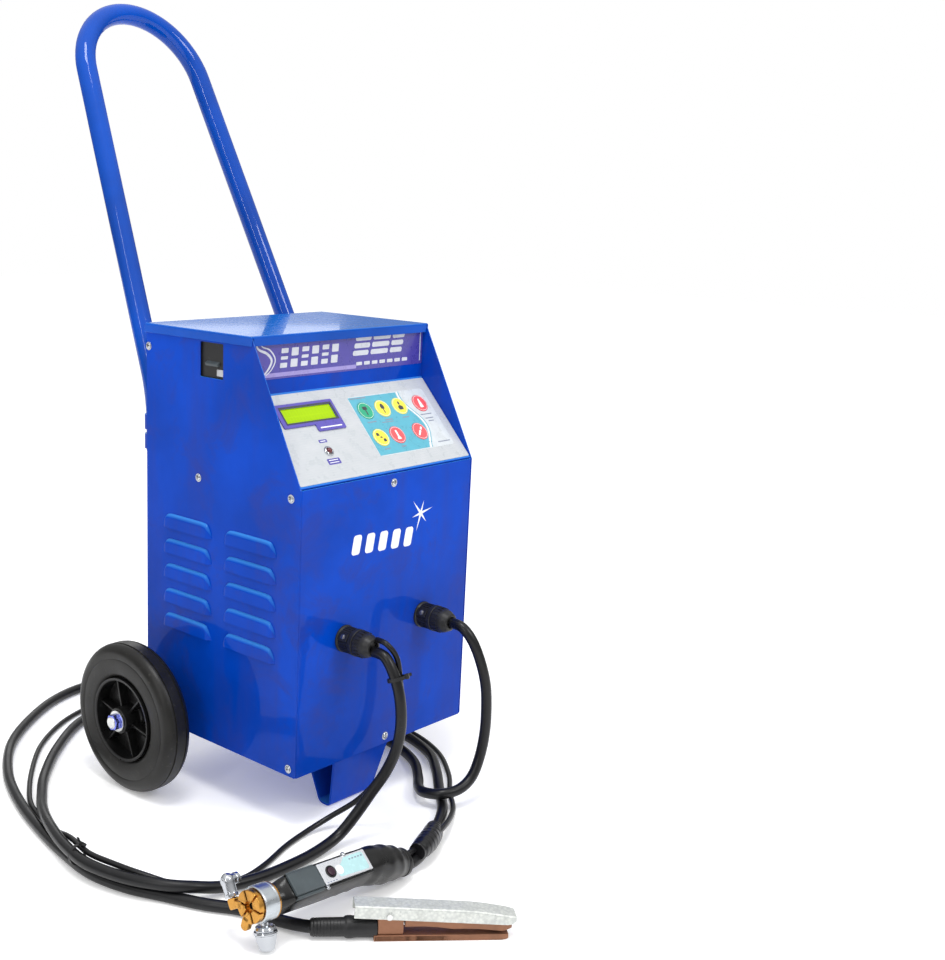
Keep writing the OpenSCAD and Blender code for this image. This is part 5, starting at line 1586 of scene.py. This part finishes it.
PIN_Z = 26 + 4 * cos(radians(CLAMP_TILT))
BLOCK_FROM, BLOCK_TO, BLOCK_TOP = 72.2, 100, PIN_Z + 4.6
cheek = fillet([(BLOCK_FROM, BAR_T), (BLOCK_TO, BAR_T), (BLOCK_TO, PIN_Z - 4), (95, BLOCK_TOP),
                (76, BLOCK_TOP), (BLOCK_FROM, PIN_Z - 1)], 1.5)
block = prism(cheek, 18, 0.8, steps=3, matrix=at(0, 9, 0) @ XZ)
piece("clamp_hinge_block", block.moved(CLAMP), copper, "clamp_block")
pin_end = [(-14, 0), (-14, 3.2), (-12.6, 3.6), (-12.1, 3.6), (-12.1, 2.5)]
pin = lathe(both_sides(pin_end), 40, matrix=JAW @ at(0, 0, 4) @ turned(z=90))
piece("clamp_hinge_pin", pin, zinc, "clamp_pin", body="clamp_jaw")

COIL_X, COIL_R, COIL_LOW, COIL_STEPS = 57, 4.5, 24.4, 28
coil = []
for k in range(4 * COIL_STEPS + 1):
    turn = 2 * pi * k / COIL_STEPS
    rise = min(1.0, max(0.0, (k / COIL_STEPS - 0.45) / 3.1))
    coil.append((COIL_X + COIL_R * cos(turn), COIL_R * sin(turn), COIL_LOW + 14.0 * rise))
coil_spring = piece("clamp_coil", sweep(coil, circle(0.7, 10), side=(0, 0, 1)).moved(CLAMP), zinc,
                    "clamp_spring")
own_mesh(coil_spring)

sleeve_body = [(0, 0), (0, 8.6), (1.5, 9.6), (12, 10.0), (36, 10.2), (38, 11.6), (40, 12.1),
               (44, 12.1), (46, 11.7), (50, 11.3), (68, 11.5), (71.4, 11.2), (72, 10.2), (72, 0)]
BOOT = at(0, 0, 12)
sleeve = lathe(sleeve_body, 64, matrix=BOOT)
for k in range(9):
    x = 3.5 + 3.6 * k
    sleeve.join(lathe([(x - 0.9, 9.4), (x, 10.35), (x + 0.9, 9.4)], 64, closed=True, matrix=BOOT))
sleeve.verts = [Vector((v.x, v.y, max(v.z, 0.3))) for v in sleeve.verts]
piece("clamp_boot", sleeve.moved(CLAMP), black, "clamp_sleeve", sharp=45)

# ---------------------------------------------------------------- floor and light

FLOOR = 9  # metres from the middle to each side


def add_floor():
    mesh = bpy.data.meshes.new("floor")
    mesh.from_pydata([p.to_3d() for p in rectangle(-FLOOR, -FLOOR, FLOOR, FLOOR)], [], [(0, 1, 2, 3)])
    look = Look("floor")
    look.set(Base_Color=rgba((0.94, 0.94, 0.94)), Roughness=0.8, Specular_IOR_Level=0.2,
             Emission_Color=rgba((1, 1, 1)), Emission_Strength=0.22)
    mesh.materials.append(look.material)
    floor = bpy.data.objects.new("floor", mesh)
    scene.collection.objects.link(floor)


def add_light(name, place, target, size, power):
    data = bpy.data.lights.new(name, "AREA")
    data.shape = "RECTANGLE"
    data.size, data.size_y = size
    data.energy = power
    light = bpy.data.objects.new(name, data)
    light.location = place
    light.rotation_euler = (Vector(target) - Vector(place)).to_track_quat("-Z", "Y").to_euler()
    scene.collection.objects.link(light)


def add_world():
    """White to the camera, and a studio that darkens towards the horizon to everything else."""
    world = bpy.data.worlds.new("world")
    world.use_nodes = True
    tree = world.node_tree
    background = tree.nodes["Background"]
    background.inputs["Color"].default_value = (1, 1, 1, 1)
    split = tree.nodes.new("ShaderNodeSeparateXYZ")
    tree.links.new(tree.nodes.new("ShaderNodeTexCoord").outputs["Generated"], split.inputs[0])
    rise = tree.nodes.new("ShaderNodeMapRange")
    tree.links.new(split.outputs["Z"], rise.inputs["Value"])
    for key, value in (("From Min", 0.0), ("From Max", 0.85), ("To Min", 0.16), ("To Max", 1.15)):
        rise.inputs[key].default_value = value
    seen = tree.nodes.new("ShaderNodeMix")
    tree.links.new(tree.nodes.new("ShaderNodeLightPath").outputs["Is Camera Ray"], seen.inputs[0])
    tree.links.new(rise.outputs["Result"], seen.inputs[2])
    seen.inputs[3].default_value = 1.0
    tree.links.new(seen.outputs[0], background.inputs["Strength"])
    scene.world = world


add_floor()
add_world()
add_light("key", (0.5, -2.7, 2.7), (0.0, 0.0, 0.4), (1.0, 0.8), 31)
add_light("strip", (-2.9, -0.9, 1.9), (0.0, 0.1, 0.4), (0.16, 2.2), 16)
add_light("top", (-0.7, -0.5, 3.1), (0.0, 0.1, 0.3), (0.8, 0.8), 32)
add_light("back", (1.6, 2.6, 1.3), (0.0, 0.1, 0.6), (1.6, 0.8), 6)
scene.view_settings.view_transform = "Standard"
scene.view_settings.look = "None"
